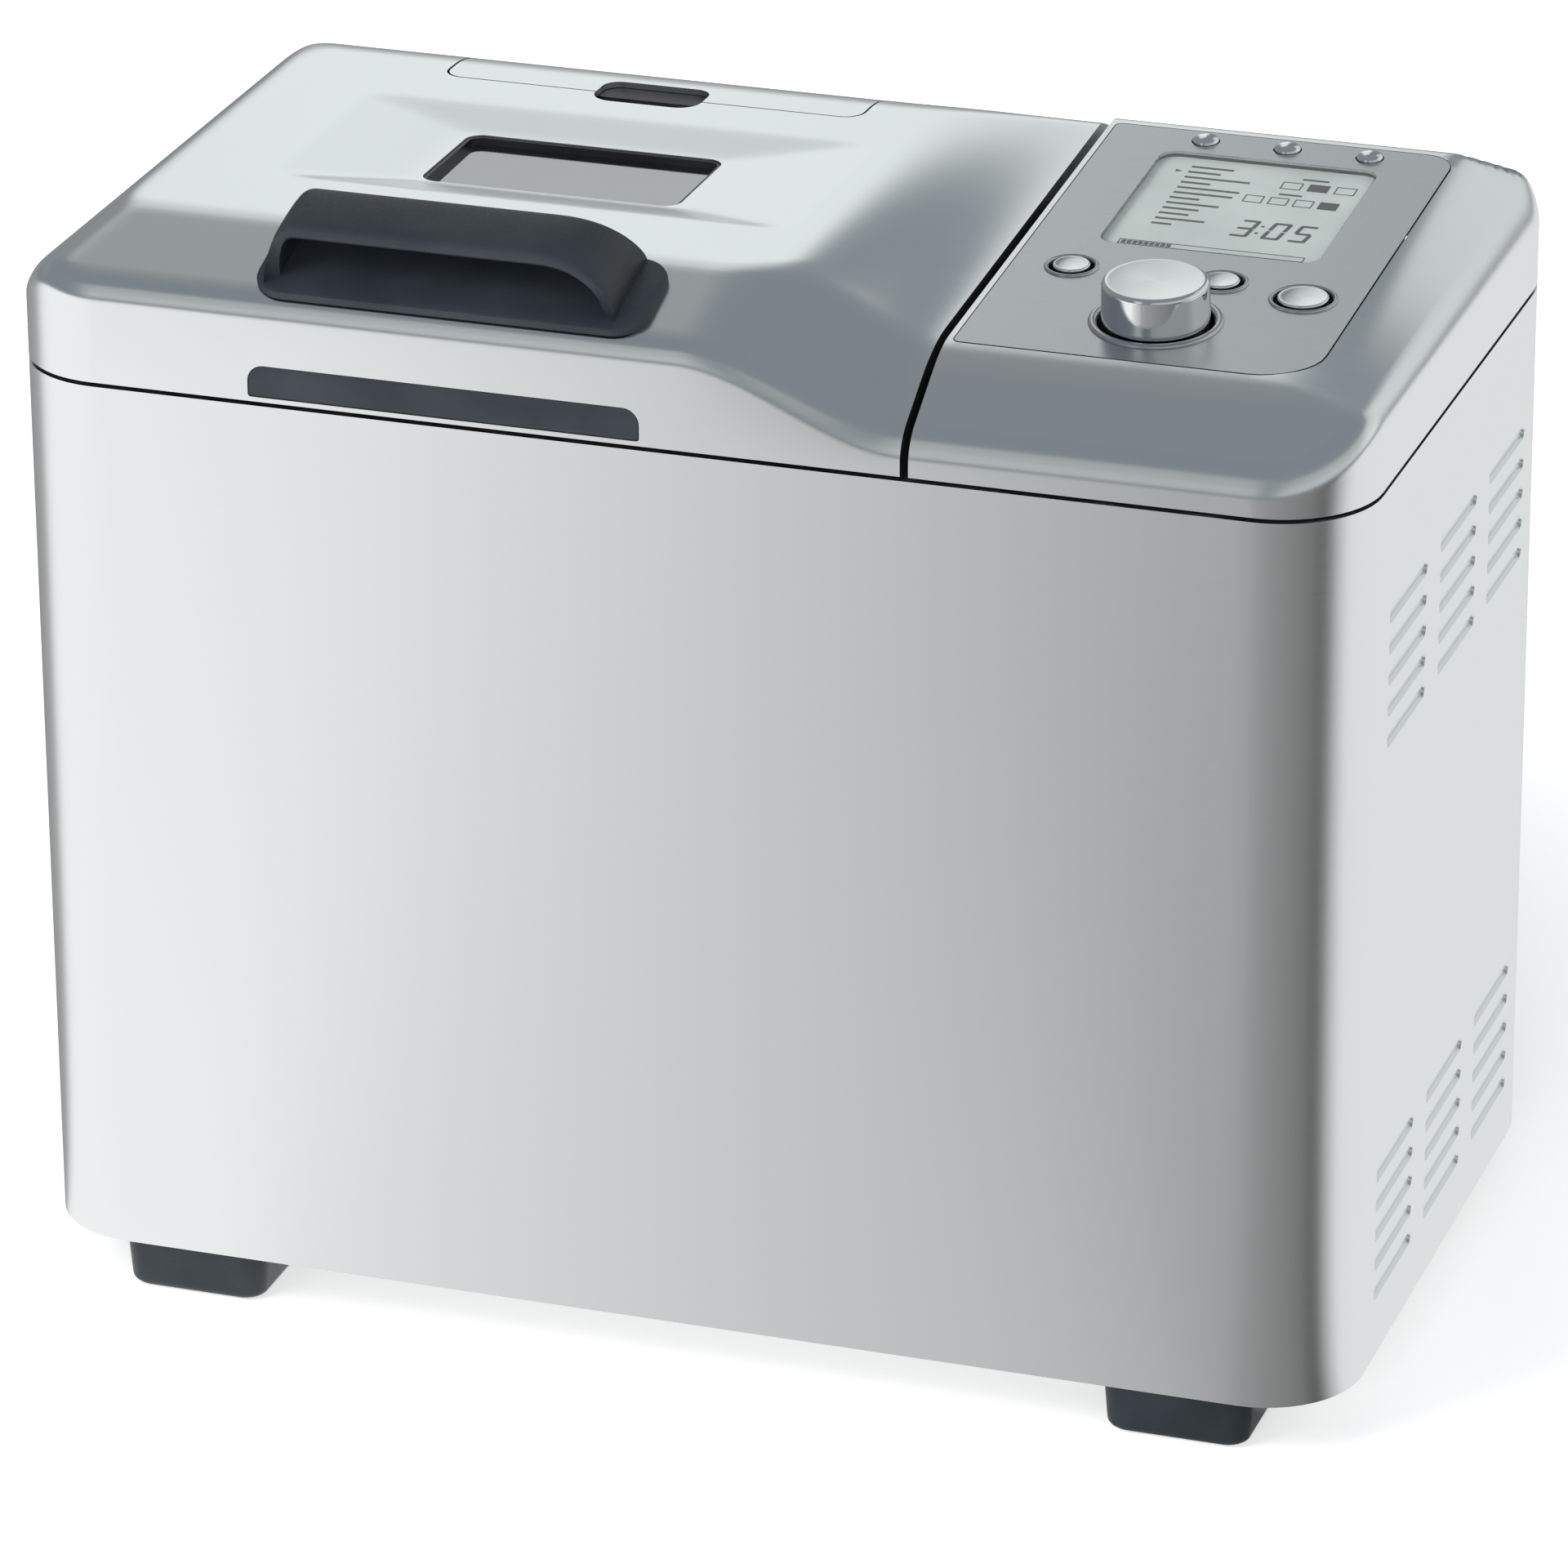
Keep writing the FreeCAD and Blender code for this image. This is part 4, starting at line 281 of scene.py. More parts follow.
def louvre_bends():
    """Depths along the right side at which the sheet is bent, closer together at the louvres' ends."""
    half, rise = LOUVRES["Half length"], LOUVRES["Half height"]
    bends = []
    for number in range(LOUVRES["Columns"]):
        column = LOUVRES["First column"] + number * LOUVRES["Column pitch"]
        for way in (-1, 1):
            bends += [column + way * (half + out) for out in (SHOULDER_BEND, LOUVRES["Shoulder"])]
            turns = np.linspace(0, math.pi / 2, 8)
            bends += [column + way * (half - rise * (1 - math.sin(turn))) for turn in turns]
        bends += [column - half / 2, column, column + half / 2]
    return sorted(bends)


def wrap_line():
    """Points and outward ways along the sheet, from its left end on the back to its right end."""
    front, rear = WRAP_FRONT_ROUND, WRAP_REAR_ROUND
    flat_end = WRAP["right"] - front - CORNER_LEAD
    front_line = [(across, WRAP["front"], 0, -1) for across in np.linspace(-flat_end, flat_end, 18)]
    side_line = [(WRAP["right"], along, 1, 0) for along in louvre_bends()]
    corners = (
        ([(-WRAP_EDGE, WRAP["back"], 0, 1)], WRAP["left"] + rear, WRAP["back"] - rear, rear, 90),
        ([], WRAP["left"] + front, WRAP["front"] + front, front, 180),
        (front_line, WRAP["right"] - front, WRAP["front"] + front, front, 270),
        (side_line, WRAP["right"] - rear, WRAP["back"] - rear, rear, 0),
    )
    line = []
    for leading, x, y, radius, start in corners:
        line += leading
        for turn in np.radians(np.linspace(start, start + 90, 13)):
            way_x, way_y = math.cos(turn), math.sin(turn)
            line.append((x + radius * way_x, y + radius * way_y, way_x, way_y))
    line.append((WRAP_EDGE, WRAP["back"], 0, 1))
    return np.array(line)


def sheet_heights():
    """Heights of the sheet's rows, closer together over each louvre."""
    heights = [WRAP["low"], WRAP["low"] + WRAP_RIM, WRAP["high"] - WRAP_RIM, WRAP["high"]]
    heights += list(np.linspace(*PLAIN_ROWS))
    for start in (LOUVRES["Low rows"], LOUVRES["High rows"]):
        for number in range(LOUVRES["Rows"]):
            middle = start + number * LOUVRES["Row pitch"]
            heights += [middle + share * LOUVRES["Half height"] for share in ROW_SHARES]
    return sorted(heights)


def worked(tree, operation, *terms, clamped=False):
    """A value worked out from others by one operation, held between 0 and 1 if asked."""
    sum_node = tree.nodes.new("ShaderNodeMath")
    sum_node.operation = operation
    sum_node.use_clamp = clamped
    for socket, term in zip(sum_node.inputs, terms):
        if isinstance(term, bpy.types.NodeSocket):
            tree.links.new(term, socket)
        else:
            socket.default_value = term
    return sum_node.outputs["Value"]


def nearest(tree, value, first, pitch, count):
    """The nearest to a value of so many evenly spaced places."""
    step = worked(tree, "ROUND", worked(tree, "DIVIDE", worked(tree, "SUBTRACT", value, first), pitch))
    step = worked(tree, "MINIMUM", worked(tree, "MAXIMUM", step, 0.0), worked(tree, "SUBTRACT", count, 1.0))
    return worked(tree, "MULTIPLY_ADD", step, pitch, first)


def louvre_tree():
    """Geometry Nodes that press rows of louvres into a sheet's right side, from sizes in millimetres."""
    tree = bpy.data.node_groups.new("pressed louvres", "GeometryNodeTree")
    tree.interface.new_socket("Sheet", in_out="INPUT", socket_type="NodeSocketGeometry")
    tree.interface.new_socket("Steel", in_out="INPUT", socket_type="NodeSocketMaterial")
    for name in LOUVRES:
        tree.interface.new_socket(name, in_out="INPUT", socket_type="NodeSocketFloat")
    tree.interface.new_socket("Sheet", in_out="OUTPUT", socket_type="NodeSocketGeometry")
    takes = tree.nodes.new("NodeGroupInput").outputs
    gives = tree.nodes.new("NodeGroupOutput").inputs
    position = tree.nodes.new("GeometryNodeInputPosition").outputs["Position"]
    spot = node_in(tree, "ShaderNodeSeparateXYZ", {"Vector": position}).outputs
    across, along, height = (worked(tree, "DIVIDE", spot[axis], MM) for axis in "XYZ")

    # Where a point lies from its nearest louvre: away along it, and lifted over its middle line.
    column = nearest(tree, along, takes["First column"], takes["Column pitch"], takes["Columns"])
    away = worked(tree, "ABSOLUTE", worked(tree, "SUBTRACT", along, column))
    is_low = worked(tree, "LESS_THAN", height, takes["Between"])
    down = worked(tree, "SUBTRACT", takes["Low rows"], takes["High rows"])
    first_row = worked(tree, "MULTIPLY_ADD", is_low, down, takes["High rows"])
    row = nearest(tree, height, first_row, takes["Row pitch"], takes["Rows"])
    lifted = worked(tree, "SUBTRACT", height, row)
    share = worked(tree, "DIVIDE", lifted, takes["Half height"])
    near = worked(tree, "LESS_THAN", worked(tree, "ABSOLUTE", share), ROW_REACH)

    # The louvre's height falls to nothing round its ends, and rows outside it draw back apart.
    straight = worked(tree, "SUBTRACT", takes["Half length"], takes["Half height"])
    over = worked(tree, "SUBTRACT", away, straight)
    end_run = worked(tree, "MULTIPLY", takes["Half height"], END_CLOSE)
    past = worked(tree, "DIVIDE", over, end_run, clamped=True)
    end = worked(tree, "SQRT", worked(tree, "SUBTRACT", 1.0, worked(tree, "MULTIPLY", past, past)))
    beyond = worked(tree, "SUBTRACT", away, takes["Half length"])
    apart = worked(tree, "DIVIDE", beyond, takes["Shoulder"], clamped=True)
    draw = worked(tree, "MAXIMUM", worked(tree, "MAXIMUM", end, takes["Least draw"]), apart)

    # The sheet sinks quickly over the lip, and comes back slowly over the slope.
    climb = worked(tree, "MULTIPLY_ADD", share, 0.5, 0.5)
    lip = worked(tree, "DIVIDE", climb, takes["Lip"])
    slope_run = worked(tree, "SUBTRACT", 1.0, takes["Lip"])
    slope = worked(tree, "DIVIDE", worked(tree, "SUBTRACT", 1.0, climb), slope_run)
    press = worked(tree, "MINIMUM", lip, slope, clamped=True)
    pressed = worked(tree, "MULTIPLY", press, worked(tree, "SQRT", end))
    sunk = worked(tree, "MULTIPLY", pressed, takes["Depth"])
    inward = worked(tree, "MULTIPLY", worked(tree, "MULTIPLY", sunk, near), -MM)
    pull = worked(tree, "MULTIPLY", lifted, worked(tree, "SUBTRACT", draw, 1.0))
    upward = worked(tree, "MULTIPLY", worked(tree, "MULTIPLY", pull, near), MM)
    offset = node_in(tree, "ShaderNodeCombineXYZ", {"X": inward, "Z": upward}).outputs["Vector"]
    links = {"Geometry": takes["Sheet"], "Selection": across, "Offset": offset}
    shaped = node_in(tree, "GeometryNodeSetPosition", links)
    real = node_in(tree, "GeometryNodeRealizeInstances", {"Geometry": shaped.outputs["Geometry"]})
    links = {"Geometry": real.outputs["Geometry"], "Material": takes["Steel"]}
    tree.links.new(node_in(tree, "GeometryNodeSetMaterial", links).outputs["Geometry"], gives["Sheet"])
    return tree


def with_modifier(mesh, kind, sockets=None, **settings):
    """A mesh with one modifier applied, and the inputs of its tree set by identifier."""
    holder = bpy.data.objects.new("holder", mesh)
    bpy.context.scene.collection.objects.link(holder)
    change = holder.modifiers.new("change", kind)
    for name, value in settings.items():
        setattr(change, name, value)
    for identifier, value in (sockets or {}).items():
        change[identifier] = value
    bpy.context.view_layer.update()
    made = bpy.data.meshes.new_from_object(holder.evaluated_get(bpy.context.evaluated_depsgraph_get()))
    made.name = mesh.name
    bpy.data.objects.remove(holder)
    return made


def grain_map(mesh, rule):
    """A UV map named grain: a rule gives the way along and across the grain for each corner, in metres."""
    layer = mesh.uv_layers.new(name="grain")
    for face in mesh.polygons:
        for corner in face.loop_indices:
            point = mesh.vertices[mesh.loops[corner].vertex_index].co
            layer.data[corner].uv = rule(point, face.normal)


def sheet_way(point, normal):
    """Grain runs round the casing: the way along is x on the front and back, and y on the sides."""
    if abs(normal.x) > abs(normal.y):
        return point.y, point.z
    return point.x, point.z


brushed_steel = metal(
    "brushed steel", (0.84, 0.86, 0.86), (0.90, 0.92, 0.92), 0.20, 0.27, (40, 5200, 1), 0.000006, 0.5,
)
line = wrap_line()
inner_side = line[:, :2] - line[:, 2:] * WRAP_SHEET
sheet_plan = np.concatenate([line[:, :2], inner_side[::-1]])
mesh = new_mesh("body_wrap_sheet", *skin([at_height(sheet_plan, height) for height in sheet_heights()]))
tree = louvre_tree()
inputs = {item.name: item.identifier for item in tree.interface.items_tree if item.in_out == "INPUT"}
sockets = {inputs[name]: float(size) for name, size in LOUVRES.items()}
sockets[inputs["Steel"]] = brushed_steel
mesh = with_modifier(mesh, "NODES", sockets, node_group=tree)
grain_map(mesh, sheet_way)
finish_piece("body_wrap_sheet", mesh, brushed_steel, "casing", ["body_wrap"])

# DRIVE AND BOARDS
# A motor on the chassis turns a large pulley and the spindle under the pan by a rubber belt.
# The power board and capacitor stand beside it; the cord gland is a plug of dark plastic in the back.

motor_metal = metal("motor shell", (0.20, 0.20, 0.21), (0.34, 0.34, 0.35), 0.30, 0.50, (40, 40, 700))
pulley_metal = metal("pulley casting", (0.40, 0.41, 0.42), (0.58, 0.59, 0.60), 0.28, 0.45, (120, 120, 1500))
cast_metal = metal(
    "housing casting", (0.30, 0.30, 0.31), (0.46, 0.46, 0.47), 0.45, 0.62, (400, 400, 400), 0.0001,
)
can_metal = metal("capacitor can", (0.55, 0.56, 0.57), (0.68, 0.69, 0.70), 0.22, 0.35, (200, 200, 30))
belt_rubber = moulded("belt rubber", (0.010, 0.010, 0.010), (0.022, 0.022, 0.022), 0.55, 0.75, 900)
circuit_board = moulded(
    "circuit board", (0.012, 0.085, 0.040), (0.025, 0.140, 0.065), 0.22, 0.38, 260, 0.0003,
)
switch_plastic = moulded("switch plastic", (0.009, 0.009, 0.010), (0.018, 0.018, 0.019), 0.30, 0.48)
gland_plastic = moulded("gland plastic", (0.012, 0.013, 0.014), (0.024, 0.025, 0.027), 0.40, 0.58)
carry(["motor"], motor_metal)
carry(["motor_pulley", "drive_pulley"], pulley_metal)
carry(["spindle_housing", "pan_socket"], cast_metal)
carry(["capacitor"], can_metal)
carry(["drive_belt"], belt_rubber)
carry(["power_board", "control_board"], circuit_board)
carry(["panel_switches"], switch_plastic)
carry(["cord_gland"], gland_plastic)

# BAKING CHAMBER
# A pressed steel box hung from the deck, with a tubular heater bent round its floor on ceramic bushings.
# The bread pan is coated aluminium with a wire bail; the shaft through its floor carries the paddle.

chamber_steel = metal("chamber steel", (0.44, 0.45, 0.46), (0.60, 0.61, 0.62), 0.30, 0.46, (30, 30, 800))
element_sheath = metal("heater sheath", (0.10, 0.10, 0.11), (0.20, 0.19, 0.19), 0.40, 0.58, (300, 300, 300))
non_stick = moulded(
    "non-stick coating", (0.028, 0.029, 0.031), (0.060, 0.062, 0.066), 0.26, 0.44, 1300, 0.0001,
)
bushing_ceramic = moulded("bushing ceramic", (0.60, 0.57, 0.50), (0.74, 0.72, 0.66), 0.40, 0.60, 700)
bush_brass = metal("bush brass", (0.52, 0.37, 0.16), (0.70, 0.54, 0.26), 0.22, 0.36, (500, 500, 500))
carry(["baking_chamber", "temperature_sensor"], chamber_steel)
carry(["heating_element"], element_sheath)
carry(["element_bushings"], bushing_ceramic)
carry(["bread_pan", "kneading_paddle"], non_stick)
carry(["pan_bush"], bush_brass)
carry(["pan_bail"], hardware_steel)

# DECK, LID LINER AND SEAL
# The deck is a moulded frame round the chamber mouth that the wrap, lid hinge and panel stand on.
# Under the lid lie a satin aluminium liner, a soft seal that meets the deck, and the dispenser's bin.

deck_plastic = moulded("deck plastic", (0.016, 0.018, 0.021), (0.026, 0.029, 0.033), 0.36, 0.52)
liner_sheet = metal("liner sheet", (0.56, 0.57, 0.58), (0.70, 0.71, 0.72), 0.30, 0.44, (20, 900, 900))
seal_rubber = moulded("seal rubber", (0.020, 0.020, 0.020), (0.034, 0.034, 0.034), 0.58, 0.74, 1200)
bin_plastic = moulded("bin plastic", (0.020, 0.022, 0.025), (0.034, 0.037, 0.041), 0.34, 0.50)
cup_plastic = moulded("cup plastic", (0.003, 0.003, 0.004), (0.006, 0.006, 0.007), 0.40, 0.55)
carry(["top_deck"], deck_plastic)
carry(["lid_liner"], liner_sheet)
carry(["lid_seal"], seal_rubber)
carry(["dispenser_bin", "dispenser_flap", "hatch_catch"], bin_plastic)
carry(["finger_cup"], cup_plastic)

# LID SHELL
# A drawn steel lid: a tall front wall, a slope up to a flat top, and a sweep that sinks at its right end
# to the panel's height. A shallow dish falls to the window, and ears at the back take the hinge.

LID = {"left": -205, "right": 72, "front": -120, "back": 107.5, "low": 296, "foot": 295.3}
LID_ROUNDS = (30, 32)
LID_SHEET = 1.8
EDGE_ROUND = 6
# Heights over the lid's low line, and a depth behind its front: at the right end, and more to the left.
LID_WALL = (9.5, 20.5)
LID_RIDGE = (28.2, 14.3)
LID_RIDGE_BACK = (31, 7)
LID_CROWN = (40.2, 0.8)
ROOF_BACK = 77.5
REAR_HIGH = 323
SIDE_HIGH = 319
SIDE_RUN = 22.5
SIDE_CLIMB = 20
FRONT_SWEEP = (5, 72)
TOP_SWEEP = (22, 74)
SOFT_RIM = 9
SOFT_FRONT = (6.2, -5)
SOFT_REAR = (1.5, 4)
DISH_MIDDLE = (-66.5, -7)
DISH_HALF = (40.5, 22.25)
DISH_RUN = (40, 18)
DISH_DEPTH = 3.6
DISH_MITRE = 0.2
DISH_EASE = 0.1
PAST_JOINT = 300
ROOF_STEP = 2.4
RIM_STEPS = (0, 0.15, 0.6, 1.3, 2.3, 3.6, 5.2, 7, 9.5, 12.5)
ROOF_START = 15
JOINT_STEPS = (2, 0.6, 0)


def soft_min(one, other, reach):
    """The lower of two heights, with a rounded change from one to the other."""
    share = np.clip(0.5 + 0.5 * (other - one) / reach, 0, 1)
    return other * (1 - share) + one * share - reach * share * (1 - share)


def edge_distance(x, y, sides, radii):
    """How far points lie inside a plan with a radius at its front corners and one at its rear."""
    (left, right), (front, back) = sides
    middle = ((left + right) / 2, (front + back) / 2)
    half = ((right - left) / 2, (back - front) / 2)
    radius = np.where(y < middle[1], radii[0], radii[1])
    over_x = np.abs(x - middle[0]) - half[0] + radius
    over_y = np.abs(y - middle[1]) - half[1] + radius
    outside = np.hypot(np.maximum(over_x, 0), np.maximum(over_y, 0))
    return radius - outside - np.minimum(np.maximum(over_x, over_y), 0)


def eased(height, distance, round_by):
    """A height with its edge rounded over."""
    near = np.clip(distance, 0, round_by)
    return height - (round_by - np.sqrt(np.maximum(round_by ** 2 - (round_by - near) ** 2, 0)))


def smooth_step(value, low, high):
    """0 below a range and 1 above it, with a smooth change between."""
    share = np.clip((value - low) / (high - low), 0, 1)
    return share * share * (3 - 2 * share)


def grown(pair, share):
    """A measure at the lid's right end with a share of what it gains to the left."""
    return pair[0] + pair[1] * share


def lid_roof(x, y):
    """Height of the lid's top without its dish, before its edges are rounded."""
    rise, top_rise = 1 - smooth_step(x, *FRONT_SWEEP), 1 - smooth_step(x, *TOP_SWEEP)
    wall = LID["low"] + grown(LID_WALL, rise)
    ridge_y = LID["front"] + grown(LID_RIDGE_BACK, rise)
    ridge = LID["low"] + grown(LID_RIDGE, rise)
    slope = wall + (y - LID["front"]) / (ridge_y - LID["front"]) * (ridge - wall)
    crown = LID["low"] + grown(LID_CROWN, top_rise)
    top_ridge = LID["low"] + grown(LID_RIDGE, top_rise)
    top = top_ridge + (y - ridge_y) / (ROOF_BACK - ridge_y) * (crown - top_ridge)
    rear = crown - (y - ROOF_BACK) / (LID["back"] - ROOF_BACK) * (crown - REAR_HIGH)
    side = SIDE_HIGH + (x - LID["left"]) * SIDE_CLIMB / SIDE_RUN
    front_rim, rear_rim = soft_min(slope, side, SOFT_RIM), soft_min(rear, side, SOFT_RIM)
    return soft_min(soft_min(top, front_rim, grown(SOFT_FRONT, rise)), rear_rim, grown(SOFT_REAR, rise))


def lid_top(x, y):
    """Height of the lid's top with its dish and its rounded edges."""
    over_x = np.maximum((np.abs(x - DISH_MIDDLE[0]) - DISH_HALF[0]) / DISH_RUN[0], 0)
    over_y = np.maximum((np.abs(y - DISH_MIDDLE[1]) - DISH_HALF[1]) / DISH_RUN[1], 0)
    away = -soft_min(-over_x, -over_y, DISH_MITRE)
    sunk = DISH_DEPTH * soft_min(np.maximum(1 - away, 0), 1.0, DISH_EASE)
    sides = ((LID["left"], LID["right"] + PAST_JOINT), (LID["front"], LID["back"]))
    return eased(lid_roof(x, y) - sunk, edge_distance(x, y, sides, LID_ROUNDS), EDGE_ROUND)


def corner_lines(low, high, round_low, round_high, step):
    """Positions between two sides, close together over the corner roundings at each."""
    turns = np.linspace(0, math.pi / 2, 15)
    lines = [low + round_low * (1 - math.cos(turn)) for turn in turns]
    lines += [high - round_high * (1 - math.cos(turn)) for turn in turns]
    room = (high - round_high) - (low + round_low)
    lines += list(np.linspace(low + round_low, high - round_high, int(room / step) + 1))[1:-1]
    return np.array(sorted(set(np.round(lines, 6))))


def corner_inset(y, depths, rounds):
    """How far an end is drawn in at a depth by its rounded front and rear corners."""
    inset = 0
    for inside, radius in ((y - depths[0], rounds[0]), (depths[1] - y, rounds[1])):
        past = max(radius - inside, 0)
        inset += radius - math.sqrt(max(radius ** 2 - past ** 2, 0))
    return inset


def roof_mesh(name, free_end, joint_end, depths, rounds, height, foot):
    """A sheet over a plan whose free end has rounded corners, with walls down its rim and a thickness."""
    span = abs(free_end - joint_end)
    first_end, *last_ends = (span - step for step in JOINT_STEPS)
    stations = [*RIM_STEPS, *np.linspace(ROOF_START, first_end, int(span / ROOF_STEP)), *last_ends]
    shares = np.array(stations) / span
    way = 1 if joint_end > free_end else -1
    along = corner_lines(*depths, *rounds, ROOF_STEP)
    grid = np.zeros((len(along), len(shares), 3))
    for row, y in enumerate(along):
        start = free_end + way * corner_inset(y, depths, rounds)
        grid[row, :, 0] = start + shares * (joint_end - start)
        grid[row, :, 1] = y
    grid[:, :, 2] = height(grid[:, :, 0], grid[:, :, 1])
    rows, columns = grid.shape[:2]
    points, faces = skin(list(grid), closed=False, ends="open")
    rim = list(range(columns))
    rim += [row * columns + columns - 1 for row in range(1, rows)]
    rim += [(rows - 1) * columns + column for column in range(columns - 2, -1, -1)]
    rim += [row * columns for row in range(rows - 2, 0, -1)]
    drop = len(points)
    for number, index in enumerate(rim):
        after = (number + 1) % len(rim)
        faces.append((index, drop + number, drop + after, rim[after]))
    mesh = new_mesh(name, np.concatenate([points, at_height(points[rim, :2], foot)]), faces)
    if mesh.polygons[rows // 2 * (columns - 1) + columns // 2].normal.z < 0:
        mesh.flip_normals()
    return with_modifier(mesh, "SOLIDIFY", thickness=LID_SHEET * MM, offset=-1, use_even_offset=True)


def cut_by(mesh, cutters, solver="EXACT"):
    """A mesh with closed cutters taken out of it, one after the other."""
    for cutter in cutters:
        tool = bpy.data.objects.new("cutter", cutter)
        bpy.context.scene.collection.objects.link(tool)
        tool.hide_render = True
        mesh = with_modifier(mesh, "BOOLEAN", object=tool, operation="DIFFERENCE", solver=solver)
        bpy.data.objects.remove(tool)
    return mesh


def prism(name, plan, low, high):
    """A closed upright block with a plan."""
    return new_mesh(name, *skin([at_height(plan, low), at_height(plan, high)]))


def grown_plan(form, grow=0):
    """The rounded plan of a form, grown on every side."""
    across, along = ((form[side][0] - grow, form[side][1] + grow) for side in ("x", "y"))
    return round_plan(across, along, [radius + grow for radius in form["rounds"]])


def stood_up(plan, y):
    """Plan points of width and height, stood up at a depth."""
    return np.column_stack([plan[:, 0], np.full(len(plan), y), plan[:, 1]])


HATCH = {"x": (-131, 2), "y": (56, 92), "round": 6, "gap": 0.7, "barrel": 2.3}
WINDOW = {"x": (-107, -26), "y": (-29.25, 15.25), "rounds": [5] * 4}
NOTCH = {"x": (-81.5, -47.5), "y": (48, 56.2), "rounds": [7, 7, 0.5, 0.5]}
MOUTH = {
    "x": (HATCH["x"][0] - HATCH["gap"], HATCH["x"][1] + HATCH["gap"]),
    "y": (HATCH["y"][0] - HATCH["gap"], HATCH["y"][1] + HATCH["barrel"] + HATCH["gap"]),
    "rounds": [6.5, 6.5, 0.5, 0.5],
}
TRIM = {"x": (-126, -6), "y": (296.7, 306.5), "rounds": [1, 1, 5, 5]}
TRIM_CUT = (-121, -117.8)
WINDOW_CUT = (320, 345)
TOP_CUT = (325, 345)
lid_depths = (LID["front"], LID["back"])
mesh = roof_mesh("lid_sheet", LID["left"], LID["right"], lid_depths, LID_ROUNDS, lid_top, LID["foot"])
mesh = cut_by(mesh, [
    prism("window_cut", grown_plan(WINDOW), *WINDOW_CUT),
    prism("mouth_cut", grown_plan(MOUTH), *TOP_CUT),
    prism("notch_cut", grown_plan(NOTCH), *TOP_CUT),
    new_mesh("trim_cut", *skin([stood_up(grown_plan(TRIM), y) for y in TRIM_CUT])),
])


def roof_way(point, normal):
    """Grain runs across the machine on the top and front, and from front to back on the ends."""
    if abs(normal.x) > max(abs(normal.y), abs(normal.z)):
        return point.y, point.z
    return point.x, point.y + point.z


def with_shells(mesh, shells):
    """A mesh with closed shells added to it."""
    work = bmesh.new()
    work.from_mesh(mesh)
    for shell in shells:
        work.from_mesh(shell)
    work.to_mesh(mesh)
    work.free()


EARS = [(-162.7, -156.8), (-144.2, -138.3), (5.3, 11.2), (23.8, 29.7)]
HINGE = {"y": 114.5, "z": 303, "knuckle": 5.5}
ear_line = [(LID["back"] - 1, HINGE["z"] + way * HINGE["knuckle"]) for way in (-1, 1)]
for turn in np.linspace(math.pi / 2, -math.pi / 2, 17):
    out, up = HINGE["knuckle"] * math.cos(turn), HINGE["knuckle"] * math.sin(turn)
    ear_line.append((HINGE["y"] + out, HINGE["z"] + up))
ear_ends = [[np.array([(x, y, z) for y, z in ear_line]) for x in ear] for ear in EARS]
with_shells(mesh, [new_mesh("hinge_ear", *skin(rings)) for rings in ear_ends])
grain_map(mesh, roof_way)
finish_piece("lid_sheet", mesh, brushed_steel, "lid", ["lid_shell"], 28)

# WINDOW
# Two panes of toughened glass in a black frame, one at the foot of the dish and one under the liner.
# The outer pane mirrors the room and lets the dark chamber show through.


def shader_mix(tree, share, one, other):
    """Two shaders in one, by the share of the second."""
    mix = tree.nodes.new("ShaderNodeMixShader")
    for socket, source in zip(mix.inputs, (share, one, other)):
        tree.links.new(source, socket)
    return mix.outputs["Shader"]


def glass(name, tint, rough, bend):
    """A flat pane: light passes straight through a tint, and its faces mirror more at a glance."""
    made = bpy.data.materials.new(name)
    made.use_nodes = True
    tree = made.node_tree
    tree.nodes.remove(tree.nodes["Principled BSDF"])
    place = tree.nodes.new("ShaderNodeTexCoord").outputs["Object"]
    film = node_in(tree, "ShaderNodeTexNoise", {"Vector": place}, Scale=60.0, Detail=3.0).outputs["Fac"]
    smear = node_in(tree, "ShaderNodeMapRange", {"Value": film}, To_Min=rough / 2, To_Max=rough)
    light = [min(1.0, part * 1.06) for part in tint]
    colour = blended(tree, film, (*tint, 1), (*light, 1))
    through = node_in(tree, "ShaderNodeBsdfTransparent", {"Color": colour})
    dulled = smear.outputs["Result"]
    mirror = node_in(tree, "ShaderNodeBsdfGlossy", {"Roughness": dulled}, Color=(1, 1, 1, 1))
    share = node_in(tree, "ShaderNodeFresnel", IOR=bend)
    inside = tree.nodes.new("ShaderNodeNewGeometry").outputs["Backfacing"]
    shown = worked(tree, "MULTIPLY", share.outputs["Fac"], worked(tree, "SUBTRACT", 1.0, inside))
    surface = shader_mix(tree, shown, through.outputs["BSDF"], mirror.outputs["BSDF"])
    tree.links.new(surface, tree.nodes["Material Output"].inputs["Surface"])
    return made


PANE = {"proud": 1.6, "round": 4, "gap": 0.1}
GASKET = {"low": 330.1, "sunk": 0.5, "gap": 0.1, "wall": 1.2}
window_glass = glass("window glass", (0.30, 0.32, 0.34), 0.10, 5.6)
inner_glass = glass("inner glass", (0.80, 0.82, 0.83), 0.08, 1.52)
frame_plastic = moulded("frame plastic", (0.006, 0.007, 0.008), (0.012, 0.013, 0.014), 0.28, 0.42)
low, high = (Vector(side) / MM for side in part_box("window_glass"))
across, along = ((low[axis] + PANE["gap"], high[axis] - PANE["gap"]) for axis in (0, 1))
mesh = prism("window_pane", round_plan(across, along, [PANE["round"]] * 4), low.z, high.z + PANE["proud"])
finish_piece("window_pane", mesh, window_glass, "lid", ["window_glass"], 30)
carry(["window_inner_glass"], inner_glass)
carry(["window_frame"], frame_plastic)
outer, inner = grown_plan(WINDOW, -GASKET["gap"]), grown_plan(WINDOW, -GASKET["wall"])
rings = [at_height(plan, GASKET["low"]) for plan in (outer, outer, inner, inner)]
